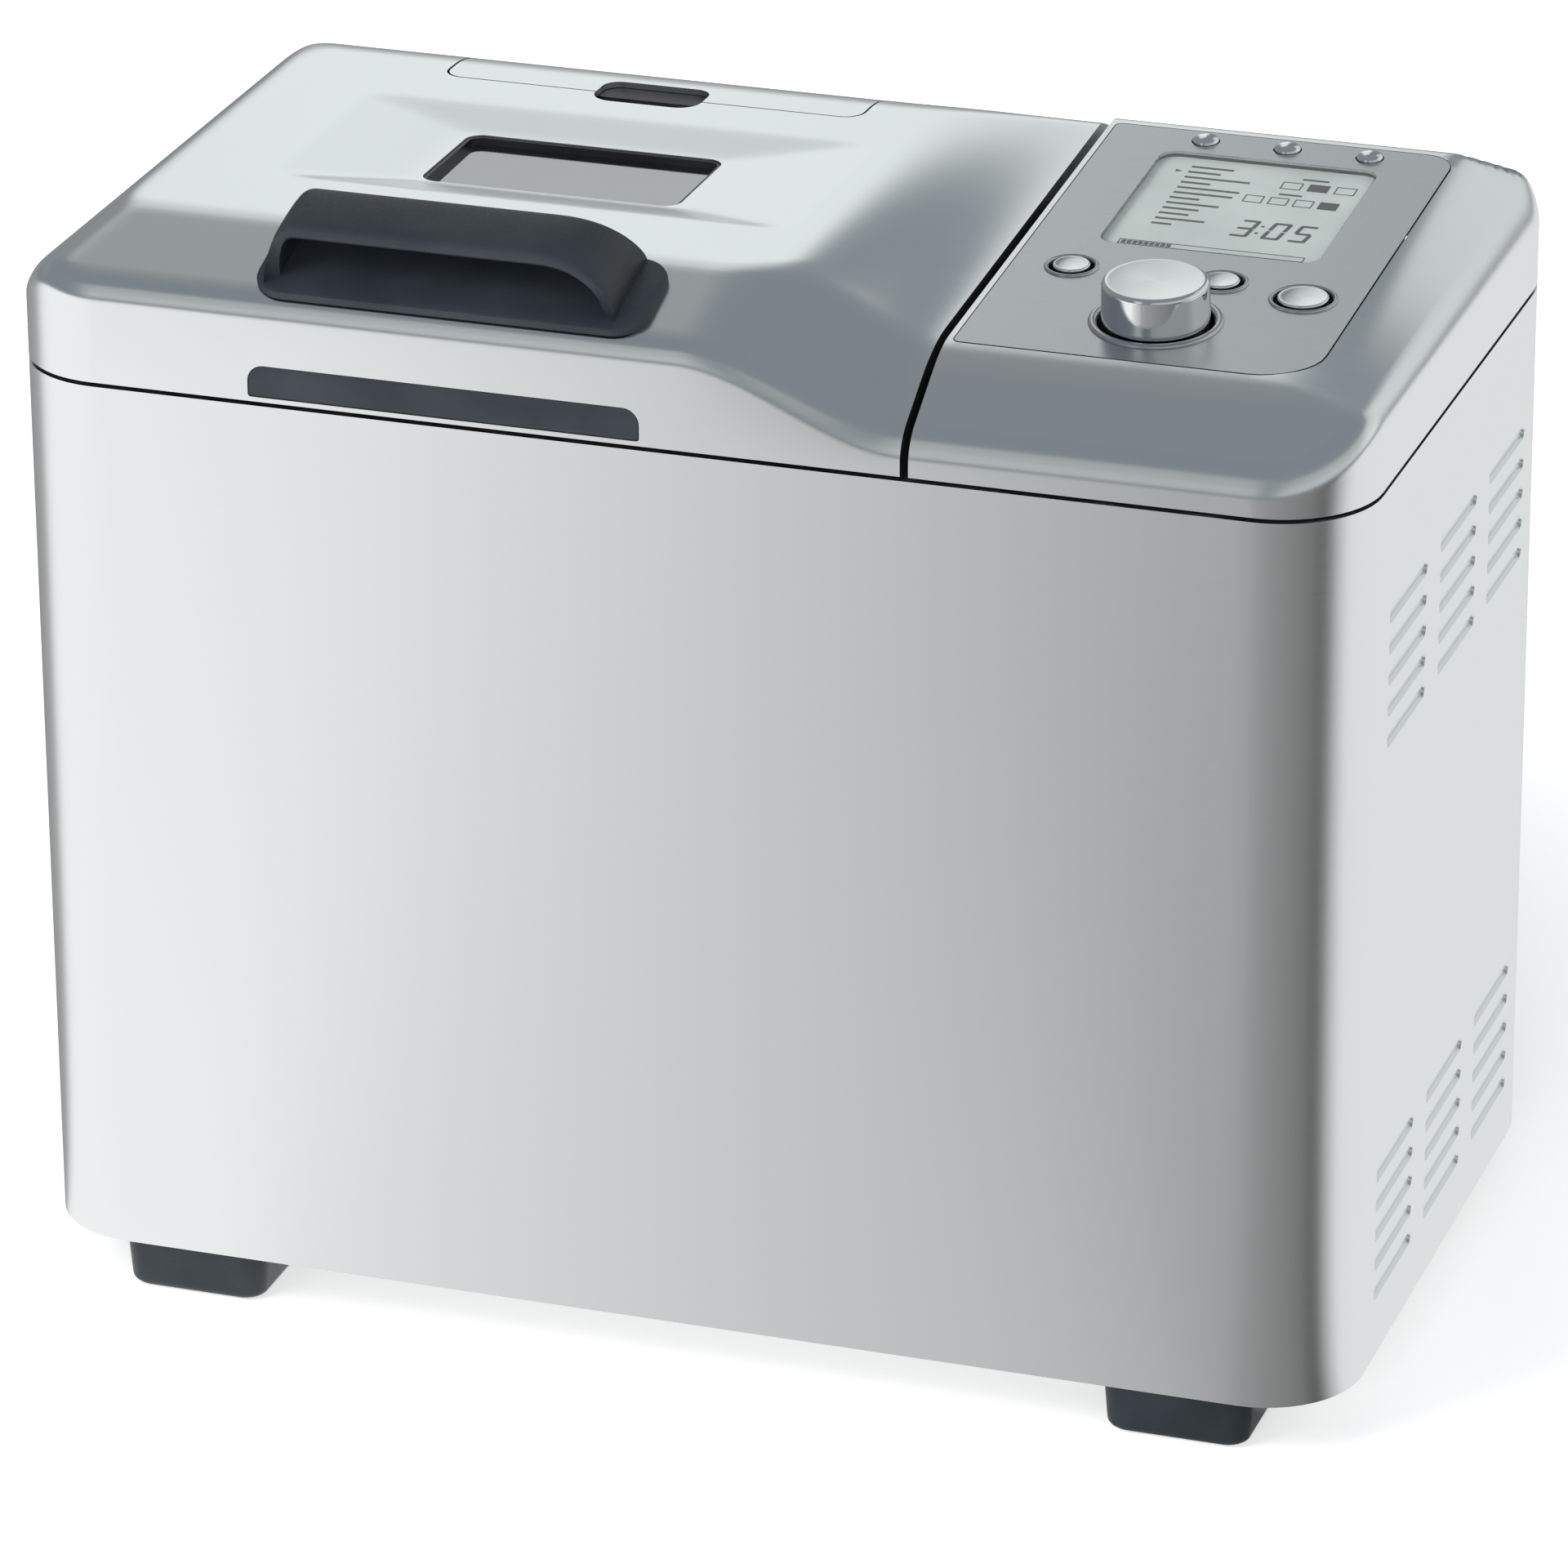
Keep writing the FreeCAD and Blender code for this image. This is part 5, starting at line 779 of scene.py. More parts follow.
for ring in rings[1:3]:
    ring[:, 2] = lid_top(ring[:, 0], ring[:, 1]) - GASKET["sunk"]
mesh = new_mesh("window_gasket", *skin(rings, ends="joined"))
finish_piece("window_gasket", mesh, frame_plastic, "lid")

# FRONT TRIM
# A strip of slate plastic let into the lid's front wall, its upper corners rounded and its rim eased.
# It is clipped in from inside before the liner goes on.

TRIM_FACE = [(-118, 0), (-119.5, 0), (-119.85, 0.35), (-120, 0.8)]
slate_plastic = moulded("slate plastic", (0.017, 0.022, 0.028), (0.025, 0.031, 0.038), 0.42, 0.56)
rings = []
for depth, inset in TRIM_FACE:
    across, rise = ((TRIM[side][0] + inset, TRIM[side][1] - inset) for side in ("x", "y"))
    low_round, top_round = TRIM["rounds"][0], TRIM["rounds"][2] - inset
    plan = round_plan(across, rise, [low_round, low_round, top_round, top_round])
    rings.append(stood_up(plan, depth))
mesh = new_mesh("front_trim_strip", *skin(rings))
finish_piece("front_trim_strip", mesh, slate_plastic, "lid", ["front_trim"])

# HANDLE
# A hood of slate plastic over a base plate on the lid's front slope, open to the front for the fingers.
# Its roof falls to a soft lip, and both ends run down to the plate in a curve; screws hold it from inside.

HANDLE_AT = (-126, -120, 326)
HANDLE_LEAN = math.radians(18.21)
handle_place = Matrix.Translation(HANDLE_AT) @ Matrix.Rotation(HANDLE_LEAN, 4, "X")
PLATE = {"x": (0, 120), "y": (2.5, 36.5), "rounds": [10] * 4}
PLATE_EDGE = [(0, 0), (1.6, 0), (2.2, 0.25), (2.5, 0.9)]
HOOD = {"x": (4, 111), "ends": (9, 24), "wall": 3.6, "foot": 1.8, "lip": 11, "toe": 6, "back": 36.4}
HOOD_ROOF = [
    (HOOD["back"], 0), (36.5, 7), (35.9, 12), (34, 14.9), (30, 16.3), (24, 17.2), (18, 17.6), (14, 17.4),
    (11.7, 16.4), (HOOD["lip"], 15.1),
]
HOOD_UNDER = [
    (HOOD["lip"] + 0.2, 14.3), (12.4, 13.5), (17, 14.1), (24, 13.7), (29, 11.6), (31.6, 7), (32.2, 3),
    (32.4, 0),
]


def moved(shell, place):
    """A shell of points and faces, its points carried by a placement."""
    points, faces = shell
    turn = np.array(place.to_3x3())
    return np.asarray(points) @ turn.T + np.array(place.translation), faces


def joined(name, *shells):
    """One mesh from several closed shells of points and faces."""
    points, faces, start = [], [], 0
    for shell_points, shell_faces in shells:
        points.append(np.asarray(shell_points))
        faces += [tuple(start + index for index in face) for face in shell_faces]
        start += len(shell_points)
    return new_mesh(name, np.concatenate(points), faces)


def spline(points, count):
    """A smooth open line through points, with that many samples."""
    points = np.array(points, float)
    padded = np.vstack([2 * points[0] - points[1], points, 2 * points[-1] - points[-2]])
    line = []
    for share in np.linspace(0, len(points) - 1.000001, count):
        knot, part = int(share), share % 1
        a, b, c, d = padded[knot:knot + 4]
        bend = (2 * a - 5 * b + 4 * c - d) * part ** 2 + (3 * b - a - 3 * c + d) * part ** 3
        line.append(0.5 * (2 * b + (c - a) * part + bend))
    return np.array(line)


def end_curve(x, span, runs):
    """0 at both ends of a span and 1 inside it, along a quarter of a full curve at each end."""
    near = np.clip(min((x - span[0]) / runs[0], (span[1] - x) / runs[1]), 0, 1)
    return math.sqrt(1 - (1 - near) ** 2.2)


def hood_ring(station):
    """The hood's cut at a station: over its roof from back to lip, and back along its underside."""
    wall, back, foot = HOOD["wall"], HOOD["back"], HOOD["foot"]
    span = (HOOD["x"][0] + wall, HOOD["x"][1] - wall)
    rise = end_curve(station, HOOD["x"], HOOD["ends"])
    hollow = end_curve(min(max(station, span[0]), span[1]), span, [run - wall for run in HOOD["ends"]])
    forward = (1 - rise) * (HOOD["lip"] - HOOD["toe"]) / (back - HOOD["lip"])
    ring = []
    for line, lift in ((roof_line, rise), (under_line, min(hollow, rise))):
        ring += [(station, y - forward * (back - y), foot + z * lift) for y, z in line]
    return np.array(ring)


roof_line = spline(HOOD_ROOF, 34)
under_line = spline(HOOD_UNDER, 28)
turns = np.linspace(0, math.pi / 2, 15)
left, right = ([run * (1 - math.cos(turn)) for turn in turns] for run in HOOD["ends"])
left = [HOOD["x"][0] + end for end in left]
right = [HOOD["x"][1] - end for end in reversed(right)]
stations = [*left, *np.linspace(left[-1], right[0], 14)[1:-1], *right]
hood = skin([hood_ring(station) for station in stations])
plate = skin([at_height(grown_plan(PLATE, -inset), height) for height, inset in PLATE_EDGE])
mesh = joined("handle_hood", moved(hood, handle_place), moved(plate, handle_place))
finish_piece("handle_hood", mesh, slate_plastic, "lid", ["lid_handle"], 40)

# DISPENSER HATCH
# A steel flap over the fruit dispenser, flush with the lid's top and curving down with it to the rear.
# Its front edge is cut away over the finger notch, and a rolled barrel along its rear edge holds the pin.

HATCH_COLUMNS = 56
HATCH_SUNK = 0.05
HATCH_NOTCH = {"x": NOTCH["x"], "y": (53, 67), "rounds": [0.5, 0.5, 5.5, 5.5]}
HATCH_BACK = (8, 0.5)
BARREL_HIGH = 327.7
BARREL_EASE = (0.4, 0.85)


def circle(at, radius, count=40):
    """Plan points of a circle."""
    turns = np.linspace(0, 2 * math.pi, count + 1)[:-1]
    return np.column_stack([at[0] + radius * np.cos(turns), at[1] + radius * np.sin(turns)])


front, back = HATCH["y"]
hatch_along = [front + HATCH["round"] * (1 - math.cos(turn)) for turn in np.linspace(0, math.pi / 2, 9)]
hatch_along += list(np.linspace(front + HATCH_BACK[0], back - HATCH_BACK[1], 14))
grid = []
for y in hatch_along:
    over = max(HATCH["round"] - (y - front), 0)
    inset = HATCH["round"] - math.sqrt(max(HATCH["round"] ** 2 - over ** 2, 0))
    across = np.linspace(HATCH["x"][0] + inset, HATCH["x"][1] - inset, HATCH_COLUMNS)
    along = np.full(HATCH_COLUMNS, y)
    grid.append(np.column_stack([across, along, lid_roof(across, along) - HATCH_SUNK]))
mesh = new_mesh("hatch_flap", *skin(grid, closed=False, ends="open"))
if mesh.polygons[len(mesh.polygons) // 2].normal.z < 0:
    mesh.flip_normals()
mesh = with_modifier(mesh, "SOLIDIFY", thickness=LID_SHEET * MM, offset=-1)
mesh = cut_by(mesh, [prism("hatch_cut", grown_plan(HATCH_NOTCH), *TOP_CUT)])
(left, right), (ease, narrow) = HATCH["x"], BARREL_EASE
rings = []
for x, size in ((left, narrow), (left + ease, 1), (right - ease, 1), (right, narrow)):
    barrel = circle((back, BARREL_HIGH), HATCH["barrel"] * size, 24)
    rings.append(np.column_stack([np.full(len(barrel), x), barrel]))
with_shells(mesh, [new_mesh("hatch_barrel", *skin(rings))])
grain_map(mesh, roof_way)
finish_piece("hatch_flap", mesh, brushed_steel, "hatch", ["dispenser_hatch"], 28)

# PANEL COVER
# A lower steel cover right of the lid: a steep front, a top that climbs to the rear, and a band
# falling to the right side. Its top is cut out for the fascia, and posts carry it on the deck.

COVER = {"left": 74.5, "right": 205, "front": -120, "back": 120, "low": 295.3}
COVER_ROUNDS = (30, 36)
COVER_FRONT = {"low": 305.5, "run": 31, "rise": 18.7}
COVER_REAR = {"from": 83, "high": 336.2, "run": 37, "fall": 20.2}
COVER_SOFT = {"front": 4, "rear": 1.5, "side": 3}
PANEL_AT = (74.5, -89, 324.2)
PANEL_CLIMB = 12 / 172
panel_place = Matrix.Translation(PANEL_AT) @ Matrix.Rotation(math.atan(PANEL_CLIMB), 4, "X")
FASCIA = {"x": (2, 107), "y": (4, 168.4), "rounds": [2, 18, 9, 2]}
FASCIA_GAP = 0.3
FASCIA_CUT = 12


def cover_top(x, y):
    """Height of the panel cover's top with its rounded edges."""
    top = PANEL_AT[2] + (y - PANEL_AT[1]) * PANEL_CLIMB
    slope = COVER_FRONT["low"] + (y - COVER["front"]) / COVER_FRONT["run"] * COVER_FRONT["rise"]
    rear = COVER_REAR["high"] - (y - COVER_REAR["from"]) * COVER_REAR["fall"] / COVER_REAR["run"]
    side = SIDE_HIGH + (COVER["right"] - x) / SIDE_RUN * (top - SIDE_HIGH)
    height = soft_min(soft_min(top, slope, COVER_SOFT["front"]), rear, COVER_SOFT["rear"])
    height = soft_min(height, side, COVER_SOFT["side"])
    sides = ((COVER["left"] - PAST_JOINT, COVER["right"]), (COVER["front"], COVER["back"]))
    return eased(height, edge_distance(x, y, sides, COVER_ROUNDS), EDGE_ROUND)


def on_panel(name, plan, low, high):
    """A closed block with a plan drawn on the panel's top."""
    return new_mesh(name, *moved(skin([at_height(plan, low), at_height(plan, high)]), panel_place))


depths = (COVER["front"], COVER["back"])
mesh = roof_mesh(
    "panel_cover_sheet", COVER["right"], COVER["left"], depths, COVER_ROUNDS, cover_top, COVER["low"],
)
fascia_cut = on_panel("fascia_cut", grown_plan(FASCIA, FASCIA_GAP), -FASCIA_CUT, FASCIA_CUT)
mesh = cut_by(mesh, [fascia_cut], "FAST")
grain_map(mesh, roof_way)
finish_piece("panel_cover_sheet", mesh, brushed_steel, "casing", ["panel_cover"], 28)

# FASCIA
# A thin brushed plate let flush into the cover's top, with holes for the display, the dial and the keys.
# Short raised rings are pressed round the keys and the dial.

DIAL = {"at": (54, 32), "radius": 15.8, "gap": 1.2}
DIAL_RING = {"inner": 17.05, "outer": 19.5, "high": 0.9}
KEYS = {
    "delay": (19.5, 63, 5.5), "modify": (42, 63, 5.5), "cancel": (64.5, 63, 5.5),
    "start": (90.5, 57.5, 7.5),
}
KEY_RING = {"inner": 1.3, "outer": 2.6, "high": 0.6}
KEY_GAP = 1.25
DOMES = {"left": (31.5, 161.7, 4), "middle": (56.8, 161.7, 4), "right": (82.1, 161.7, 4)}
DOME_GAP = 0.3
DISPLAY = {"x": (21.5, 87.5), "y": (82.5, 152.2), "rounds": [5] * 4}
DISPLAY_GAP = 0.35
HOLE_CUT = (-5, 5)
FASCIA_FACES = (-0.8, -0.02)
RING_FOOT = -0.02
RING_CROWN = 0.15

dial_hole = circle(DIAL["at"], DIAL["radius"] + DIAL["gap"], 72)
cutters = [
    on_panel("display_cut", grown_plan(DISPLAY, DISPLAY_GAP), *HOLE_CUT),
    on_panel("dial_cut", dial_hole, *HOLE_CUT),
]
for buttons, room in ((KEYS, KEY_GAP), (DOMES, DOME_GAP)):
    for name, (x, y, radius) in buttons.items():
        cutters.append(on_panel(name + "_cut", circle((x, y), radius + room), *HOLE_CUT))
mesh = cut_by(on_panel("fascia_sheet", grown_plan(FASCIA), *FASCIA_FACES), cutters)
grain_map(mesh, roof_way)
fascia_steel = metal(
    "fascia steel", (0.50, 0.52, 0.53), (0.58, 0.60, 0.61), 0.24, 0.32, (60, 4200, 1), 0.000008, 0.5,
)
finish_piece("fascia_sheet", mesh, fascia_steel, "casing", ["fascia_plate"])


def lathe(profile, at, count=64):
    """A shell turned about a spot of the panel from radius and height pairs, closed at both ends."""
    rings = [at_height(circle(at, max(radius, 0.02), count), height) for radius, height in profile]
    return moved(skin(rings), panel_place)


def ring_shell(at, inner, outer, high):
    """A closed ring with a rounded crown, standing on the panel."""
    middle, half = (inner + outer) / 2, (outer - inner) / 2
    profile = [(inner, RING_FOOT)]
    for turn in np.linspace(RING_CROWN, math.pi - RING_CROWN, 9):
        profile.append((middle - half * math.cos(turn), high * math.sin(turn)))
    profile.append((outer, RING_FOOT))
    rings = [at_height(circle(at, radius, 64), height) for radius, height in profile]
    return moved(skin(rings, ends="joined"), panel_place)


ring_metal = metal("ring metal", (0.50, 0.51, 0.53), (0.62, 0.63, 0.65), 0.24, 0.34, (300, 300, 300))
shells = []
for x, y, radius in KEYS.values():
    inner, outer = radius + KEY_RING["inner"], radius + KEY_RING["outer"]
    shells.append(ring_shell((x, y), inner, outer, KEY_RING["high"]))
shells.append(ring_shell(DIAL["at"], **DIAL_RING))
mesh = joined("control_ring_set", *shells)
finish_piece("control_ring_set", mesh, ring_metal, "casing", ["control_rings"], 50)

# KEYS AND DOMES
# Four round keys turned from bright metal, each face faintly dished, and three small polished domes.
# Each stands on a flange under the cover and a stem over its switch, and springs back when pressed.

KEY_FOOT = [(0, -6.9), (2, -6.9), (2, -3.7)]
FLANGE = {"wide": 1.2, "low": -3.7, "high": -2.5}
KEY_TOP = {"wall": 0.35, "round": (0.55, 0.6), "face": 0.95, "dish": 0.45}
DOME_TOP = {"wall": 0.2, "rise": 1.75}
GRAIN_TURN = 0.01


def turned_map(mesh, at):
    """A UV map for turned metal: the way along the grain runs round the piece's axis."""
    back = panel_place.inverted()
    layer = mesh.uv_layers.new(name="grain")
    for face in mesh.polygons:
        middle = back @ (face.center / MM)
        base = math.atan2(middle.y - at[1], middle.x - at[0])
        for corner in face.loop_indices:
            spot = back @ (mesh.vertices[mesh.loops[corner].vertex_index].co / MM)
            radius = math.hypot(spot.x - at[0], spot.y - at[1])
            turn = math.atan2(spot.y - at[1], spot.x - at[0])
            turn = base + (turn - base + math.pi) % (2 * math.pi) - math.pi
            layer.data[corner].uv = (turn * GRAIN_TURN, radius * MM + spot.z * MM)


def key_stem(radius, wall):
    """Profile of a button's stem, its flange and its side wall."""
    out, low, high = radius + FLANGE["wide"], FLANGE["low"], FLANGE["high"]
    return KEY_FOOT + [(out, low), (out, high), (radius, high), (radius, wall)]


turned_metal = metal(
    "turned metal", (0.80, 0.81, 0.82), (0.90, 0.91, 0.91), 0.16, 0.26, (40, 6000, 1), 0.00001, 0.75,
)
chrome = metal("chrome", (0.83, 0.84, 0.85), (0.88, 0.89, 0.90), 0.04, 0.08, (40, 40, 40), 0.000002)
for name, (x, y, radius) in KEYS.items():
    profile = key_stem(radius, KEY_TOP["wall"])
    wide, tall = KEY_TOP["round"]
    for turn in np.linspace(0.2, 1.57, 6):
        profile.append((radius - wide * (1 - math.cos(turn)), KEY_TOP["wall"] + tall * math.sin(turn)))
    for share in (0.8, 0.6, 0.4, 0.2, 0):
        profile.append((radius * share, KEY_TOP["face"] - KEY_TOP["dish"] * (1 - share * share)))
    mesh = joined(name + "_key", lathe(profile, (x, y)))
    turned_map(mesh, (x, y))
    body, replaced = name + "_key", [name + "_button"]
    finish_piece(name + "_key_cap", mesh, turned_metal, body, replaced, 40)
for name, (x, y, radius) in DOMES.items():
    profile = key_stem(radius, DOME_TOP["wall"])
    for turn in np.linspace(0.1, 1.57, 12):
        profile.append((radius * math.cos(turn), DOME_TOP["wall"] + DOME_TOP["rise"] * math.sin(turn)))
    mesh = joined(name + "_dome", lathe(profile, (x, y)))
    body, replaced = "option_key_" + name, ["option_button_" + name]
    finish_piece("option_dome_" + name, mesh, chrome, body, replaced, 40)

# DIAL
# A chromed knob with a turned top on a spindle, sunk in a dark well inside its own ring.
# It is pressed on the spindle of the encoder under the panel.

DIAL_SIDE = [
    (0, -9), (3, -9), (3, -2.5), (12, -2.5), (12.2, 0.3), (15.2, 0.3), (15.8, 0.7), (15.75, 2),
    (15.55, 11.4),
]
DIAL_ROUND = (1.5, 1.55)
DIAL_FACE = [(13.4, 12.9), (11, 12.75), (8, 12.62), (5, 12.55), (2, 12.5), (0, 12.5)]
DIAL_FACE_LOW = 0.33
side_radius, side_high = DIAL_SIDE[-1]
profile = list(DIAL_SIDE)
for turn in np.linspace(0.2, 1.57, 8):
    inset, rise = DIAL_ROUND[0] * (1 - math.cos(turn)), DIAL_ROUND[1] * math.sin(turn)
    profile.append((side_radius - inset, side_high + rise))
mesh = joined("dial_knob", lathe(profile + DIAL_FACE, DIAL["at"], 96))
turned_map(mesh, DIAL["at"])
mesh.materials.append(chrome)
mesh.materials.append(turned_metal)
up_way = panel_place.to_3x3() @ Vector((0, 0, 1))
for face in mesh.polygons:
    if face.normal.dot(up_way) > 0.9 and face.center.z > DIAL_FACE_LOW:
        face.material_index = 1
finish_piece("dial_knob", mesh, chrome, "dial", ["selection_dial"], 40)

# DISPLAY
# A pale grey-green liquid crystal under a clear lens flush with the fascia.
# Dark plain bars, boxes and digits lie on its face, each a thin patch of ink.

crystal = moulded("liquid crystal", (0.70, 0.74, 0.71), (0.78, 0.81, 0.78), 0.45, 0.60, 500, 0.00002)
lens_glass = glass("display lens", (0.95, 0.97, 0.96), 0.06, 1.45)
ink = moulded("crystal ink", (0.008, 0.009, 0.010), (0.014, 0.016, 0.017), 0.50, 0.62)
carry(["display_module"], crystal)
carry(["display_lens"], lens_glass)
INK_LOW, INK_HIGH = -2.13, -2.05
INK_LEAN = 0.13
DIGIT_BARS = {"0": "abcdef", "3": "abcdg", "5": "acdfg"}
DIGITS_LOW = 100.5
LIST_BARS = (13, 10, 20, 9, 19, 18, 9, 16, 11, 9, 15, 6)
LIST = {"left": 31.5, "top": 146.2, "pitch": 3.9, "bar": 1.15}
UPPER_BOXES = {"left": 61, "low": 137.6, "pitch": 8.2, "wide": 6.2, "count": 3}
LOWER_BOXES = {"left": 52.8, "low": 125.6, "pitch": 7.6, "wide": 5.8, "count": 4}
BOX_TALL = 5.2
PROGRESS = {"left": 26.9, "low": 87.7, "pitch": 1.7, "wide": 1.3, "tall": 2.0, "count": 9}
shells = []


def ink_shape(plan):
    """A thin closed patch of ink on the crystal."""
    plan = np.array(plan, float)
    shells.append(moved(skin([at_height(plan, INK_LOW), at_height(plan, INK_HIGH)]), panel_place))


def ink_bar(x, y, width, height):
    """A plain bar from its lower left corner."""
    ink_shape([(x, y), (x + width, y), (x + width, y + height), (x, y + height)])


def ink_box(x, y, width, height, line=0.35):
    """The outline of a box in four bars."""
    ink_bar(x, y, width, line)
    ink_bar(x, y + height - line, width, line)
    ink_bar(x, y + line, line, height - 2 * line)
    ink_bar(x + width - line, y + line, line, height - 2 * line)


def ink_digit(digit, x, y, width=5.6, height=12.2, line=1.2):
    """A digit in up to seven slanting bars."""
    half = height / 2
    bars = {
        "a": (0.4, height - line, width - 0.8, line), "d": (0.4, 0, width - 0.8, line),
        "g": (0.6, half - line / 2, width - 1.2, line), "f": (0, half + 0.35, line, half - 0.8),
        "e": (0, 0.45, line, half - 0.8), "b": (width - line, half + 0.35, line, half - 0.8),
        "c": (width - line, 0.45, line, half - 0.8),
    }
    for bar in DIGIT_BARS[digit]:
        left, low, wide, tall = bars[bar]
        lean = [INK_LEAN * low, INK_LEAN * (low + tall)]
        ink_shape([
            (x + left + lean[0], y + low), (x + left + wide + lean[0], y + low),
            (x + left + wide + lean[1], y + low + tall), (x + left + lean[1], y + low + tall),
        ])


for place_x, digit in ((55.6, "3"), (65.2, "0"), (73.2, "5")):
    ink_digit(digit, place_x, DIGITS_LOW)
ink_bar(62.8, 103.6, 1.0, 1.0)
ink_bar(63.5, 108.6, 1.0, 1.0)
for row, length in enumerate(LIST_BARS):
    ink_bar(LIST["left"], LIST["top"] - row * LIST["pitch"], length, LIST["bar"])
ink_shape([(27.6, 142.0), (29.6, 142.9), (27.6, 143.8)])
for boxes in (UPPER_BOXES, LOWER_BOXES):
    for count in range(boxes["count"]):
        ink_box(boxes["left"] + count * boxes["pitch"], boxes["low"], boxes["wide"], BOX_TALL)
ink_bar(69.6, 138.0, 5.4, 4.4)
ink_bar(76.0, 126.0, 5.0, 4.4)
ink_bar(66.0, 145.2, 8.0, 1.0)
ink_bar(62.0, 133.0, 7.0, 1.0)
ink_box(26.0, 87.0, 56.0, 3.4, 0.3)
for count in range(PROGRESS["count"]):
    left = PROGRESS["left"] + count * PROGRESS["pitch"]
    ink_bar(left, PROGRESS["low"], PROGRESS["wide"], PROGRESS["tall"])
mesh = joined("display_marks", *shells)
finish_piece("display_marks", mesh, ink, "casing")

# STAGE, LIGHT AND CAMERA
# A white sweep under and behind the machine, a soft room light, and the photograph's long lens.
# The room and the floor are white to the camera, and graded greys in what the metal mirrors; the floor's
# greys there are painted reflection, graded round the machine's front corners.

COOL_TINT = 0.986


def shade_ramp(tree, source, stops):
    """Greys with a faint cool tint along a value, from stops that begin with the first and the last."""
    ramp = tree.nodes.new("ShaderNodeValToRGB")
    tree.links.new(source, ramp.inputs["Fac"])
    steps = ramp.color_ramp.elements
    for number, (position, grey) in enumerate(stops):
        step = steps[number] if number < 2 else steps.new(position)
        step.position = position
        step.color = (grey * COOL_TINT, grey, grey, 1)
    return ramp.outputs["Color"]


OVERHEAD = [
    (0.0, 0.42), (1.0, 0.27), (0.53, 0.42), (0.58, 0.94), (0.70, 0.94), (0.755, 0.83), (0.865, 0.74),
    (0.89, 0.30),
]
STRIP = [
    (0.0, 0.30), (1.0, 0.85), (0.245, 0.30), (0.305, 1.0), (0.376, 1.0), (0.420, 0.20), (0.51, 0.20),
    (0.57, 0.75),
]
FRONT = [(0.0, 0.72), (1.0, 1.0), (0.45, 0.72), (0.60, 1.0)]
LEAST_SHADE = (0.22, 0.25, 0.28, 1)
WHITE = (1, 1, 1, 1)
world = bpy.data.worlds.new("room")
bpy.context.scene.world = world
world.use_nodes = True
tree = world.node_tree
tree.nodes.clear()
place = tree.nodes.new("ShaderNodeTexCoord").outputs["Generated"]
parts_of = node_in(tree, "ShaderNodeSeparateXYZ", {"Vector": place}).outputs
overhead, strip, front = (
    shade_ramp(tree, worked(tree, "MULTIPLY_ADD", parts_of[axis], 0.5, 0.5), stops)
    for axis, stops in (("Z", OVERHEAD), ("X", STRIP), ("Y", FRONT))
)
room = blended(tree, 1.0, blended(tree, 1.0, overhead, strip, "MULTIPLY"), front, "MULTIPLY")
room = blended(tree, 1.0, room, LEAST_SHADE, "LIGHTEN")
background = node_in(tree, "ShaderNodeBackground", {"Color": room}, Strength=1.0).outputs["Background"]
white = node_in(tree, "ShaderNodeBackground", Color=WHITE, Strength=1.0).outputs["Background"]
ray = tree.nodes.new("ShaderNodeLightPath").outputs
surface = shader_mix(tree, ray["Is Camera Ray"], background, white)
node_in(tree, "ShaderNodeOutputWorld", {"Surface": surface})

FLOOR_HALF = 6
FLOOR_GREY = (0.8, 0.8, 0.8, 1)
FLOOR_ROUGH = 0.6
# Painted reflection: the floor's greys below are shown only to glossy rays, graded round the machine's
# front corners and across its front.
CORNER = (0.175, -0.09)
VIEW_LEAN = -0.339
FLAT_LOW, FLAT_HIGH = -0.134, 0.216
FLAT_FRONT = [
    (FLAT_LOW, 1.0), (-0.11, 1.0), (-0.07, 0.86), (-0.02, 0.77), (0.08, 0.64), (0.15, 0.57), (0.19, 0.50),
    (FLAT_HIGH, 0.41),
]
RIGHT_CORNER = [
    (-109, 0.41), (-95, 0.33), (-60, 0.25), (-38, 0.20), (-31, 0.12), (-22, 0.12), (-10, 0.50), (4, 0.84),
    (120, 0.84),
]
LEFT_CORNER = [(-71, 1.0), (-4, 1.0), (6, 0.75), (14, 0.36), (95, 0.26), (112, 0.84), (125, 0.84)]
CHANGE = 0.002
MIDDLE_CHANGE = (-0.01, 0.01)
BEHIND_CHANGE = (-0.10, -0.08)
floor_mesh = bpy.data.meshes.new("floor")
ways = ((-1, -1), (1, -1), (1, 1), (-1, 1))
floor_plan = [(way_x * FLOOR_HALF, way_y * FLOOR_HALF, 0) for way_x, way_y in ways]
floor_mesh.from_pydata(floor_plan, [], [(0, 1, 2, 3)])
floor = bpy.data.objects.new("floor", floor_mesh)
bpy.context.scene.collection.objects.link(floor)
floor_white = bpy.data.materials.new("floor white")
floor_white.use_nodes = True
tree = floor_white.node_tree
shader = tree.nodes["Principled BSDF"]
shader.inputs["Base Color"].default_value = FLOOR_GREY
shader.inputs["Roughness"].default_value = FLOOR_ROUGH
place = tree.nodes.new("ShaderNodeTexCoord").outputs["Object"]
parts_of = node_in(tree, "ShaderNodeSeparateXYZ", {"Vector": place}).outputs
reach = tree.nodes.new("ShaderNodeVectorMath")
reach.operation = "LENGTH"
tree.links.new(place, reach.inputs[0])
far = node_in(
    tree, "ShaderNodeMapRange", {"Value": reach.outputs["Value"]},
    From_Min=0.25, From_Max=0.9, To_Min=0.5, To_Max=1.0,
)
glow = node_in(tree, "ShaderNodeEmission", {"Strength": far.outputs["Result"]}, Color=WHITE)
seen = tree.nodes.new("ShaderNodeAddShader")
tree.links.new(shader.outputs["BSDF"], seen.inputs[0])
tree.links.new(glow.outputs["Emission"], seen.inputs[1])


def ranged(source, low, high):
    """A value's share of a range, from 0 to 1."""
    share = node_in(tree, "ShaderNodeMapRange", {"Value": source}, From_Min=low, From_Max=high)
    return share.outputs["Result"]


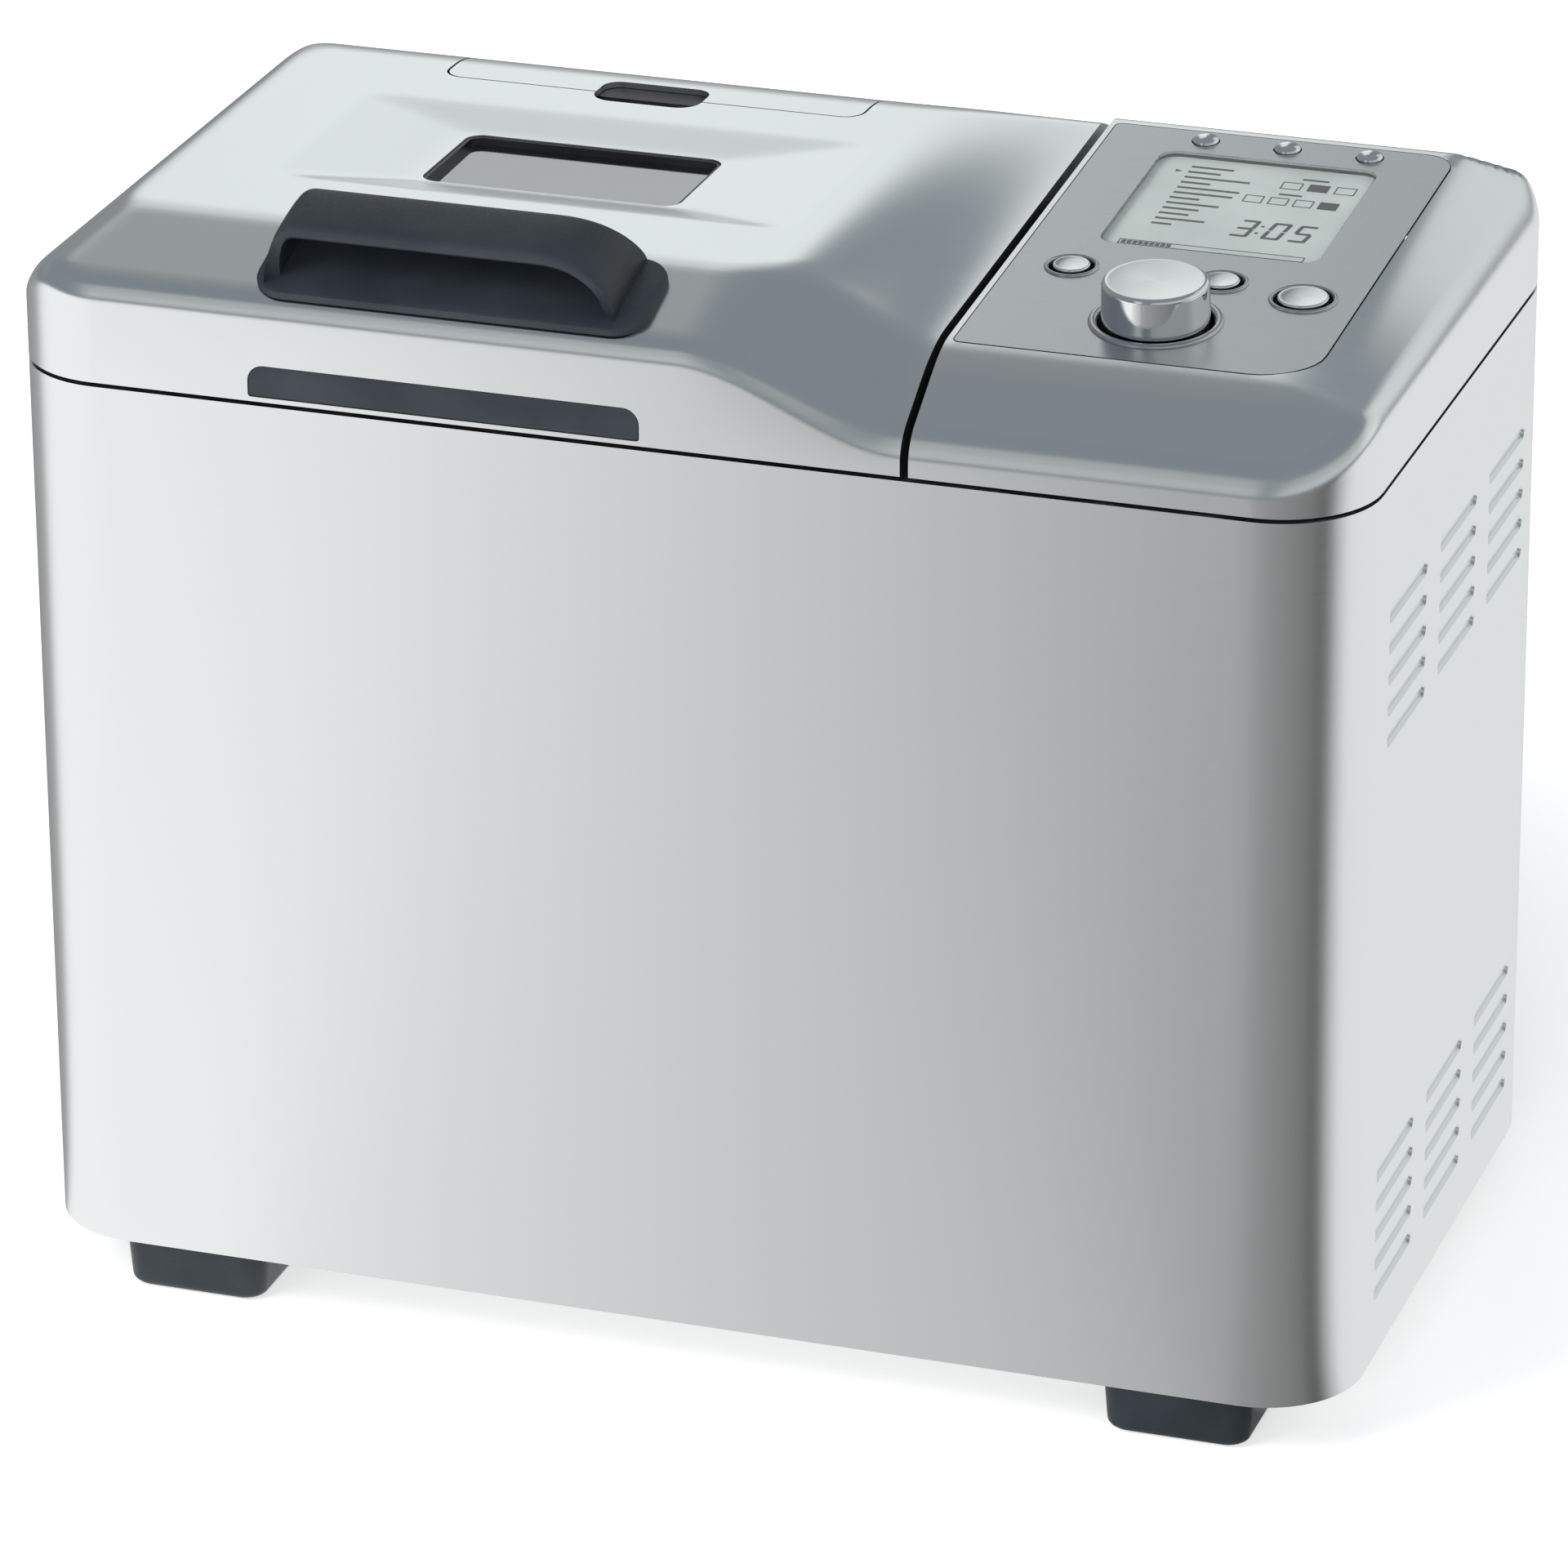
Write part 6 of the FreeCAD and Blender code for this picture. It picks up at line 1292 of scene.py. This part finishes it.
def ramp_over(source, stops, unit=1.0):
    """Greys along a value, from stops in order that give its values in a unit."""
    low, high = stops[0][0], stops[-1][0]
    shares = [((at - low) / (high - low), grey) for at, grey in (stops[0], stops[-1], *stops[1:-1])]
    return shade_ramp(tree, ranged(source, low * unit, high * unit), shares)


def around_corner(side, stops):
    """Painted reflection greys by the direction from a front corner, in degrees from straight out to that
    side.
    """
    out = worked(tree, "MULTIPLY_ADD", parts_of["X"], side, -CORNER[0])
    along = worked(tree, "SUBTRACT", parts_of["Y"], CORNER[1])
    return ramp_over(worked(tree, "ARCTAN2", along, out), stops, math.radians(1))


# Painted reflection: what the metal mirrors of the floor, one grading before the flat front and one round
# each corner, shown only to glossy rays.
lean = worked(tree, "MULTIPLY_ADD", parts_of["Y"], VIEW_LEAN, parts_of["X"])
right_side, left_side = around_corner(1, RIGHT_CORNER), around_corner(-1, LEFT_CORNER)
mirror = blended(tree, ranged(lean, FLAT_HIGH - CHANGE, FLAT_HIGH), ramp_over(lean, FLAT_FRONT), right_side)
mirror = blended(tree, ranged(lean, FLAT_LOW, FLAT_LOW - CHANGE), mirror, left_side)
sides = blended(tree, ranged(parts_of["X"], *MIDDLE_CHANGE), left_side, right_side)
mirror = blended(tree, ranged(parts_of["Y"], *BEHIND_CHANGE), mirror, sides)
floor_painted_reflection = node_in(tree, "ShaderNodeEmission", {"Color": mirror}, Strength=1.0)
ray = tree.nodes.new("ShaderNodeLightPath").outputs
surface = shader_mix(tree, ray["Is Glossy Ray"], shader.outputs["BSDF"], floor_painted_reflection.outputs["Emission"])
surface = shader_mix(tree, ray["Is Camera Ray"], surface, seen.outputs["Shader"])
tree.links.new(surface, tree.nodes["Material Output"].inputs["Surface"])
floor_mesh.materials.append(floor_white)


def area_lamp(name, place, target, size, power):
    """A soft lamp that faces a point and that no metal mirrors."""
    lamp = bpy.data.lights.new(name, "AREA")
    lamp.shape = "RECTANGLE"
    lamp.size, lamp.size_y = size
    lamp.energy = power
    holder = bpy.data.objects.new(name, lamp)
    bpy.context.scene.collection.objects.link(holder)
    holder.location = place
    holder.rotation_euler = (Vector(target) - Vector(place)).to_track_quat("-Z", "Y").to_euler()
    holder.visible_glossy = False


area_lamp("key", (-1.2, -1.4, 1.6), (0, 0, 0.2), (1.2, 1.2), 30)
area_lamp("fill", (0.5, -2.4, 0.7), (0, 0, 0.25), (1.0, 0.6), 45)

AZIMUTH, ELEVATION, ROLL = (math.radians(angle) for angle in (18.756, 23.382, -0.352))
TARGET = Vector((-0.0014, -0.007, 0.1446))
DISTANCE = 2.611
SENSOR = 36
FOCAL_SHARE = 10545 / 1920
level = math.cos(ELEVATION)
back = Vector((math.sin(AZIMUTH) * level, -math.cos(AZIMUTH) * level, math.sin(ELEVATION)))
right = Vector((0, 0, 1)).cross(back).normalized()
up = back.cross(right)
turned_right = math.cos(ROLL) * right + math.sin(ROLL) * up
turned_up = math.cos(ROLL) * up - math.sin(ROLL) * right
lens = bpy.data.cameras.new("camera")
lens.sensor_width = SENSOR
lens.lens = FOCAL_SHARE * SENSOR
camera = bpy.data.objects.new("camera", lens)
bpy.context.scene.collection.objects.link(camera)
axes = Matrix((turned_right, turned_up, back)).transposed().to_4x4()
camera.matrix_world = Matrix.Translation(TARGET + back * DISTANCE) @ axes
bpy.context.scene.camera = camera
bpy.context.scene.view_settings.view_transform = "Standard"
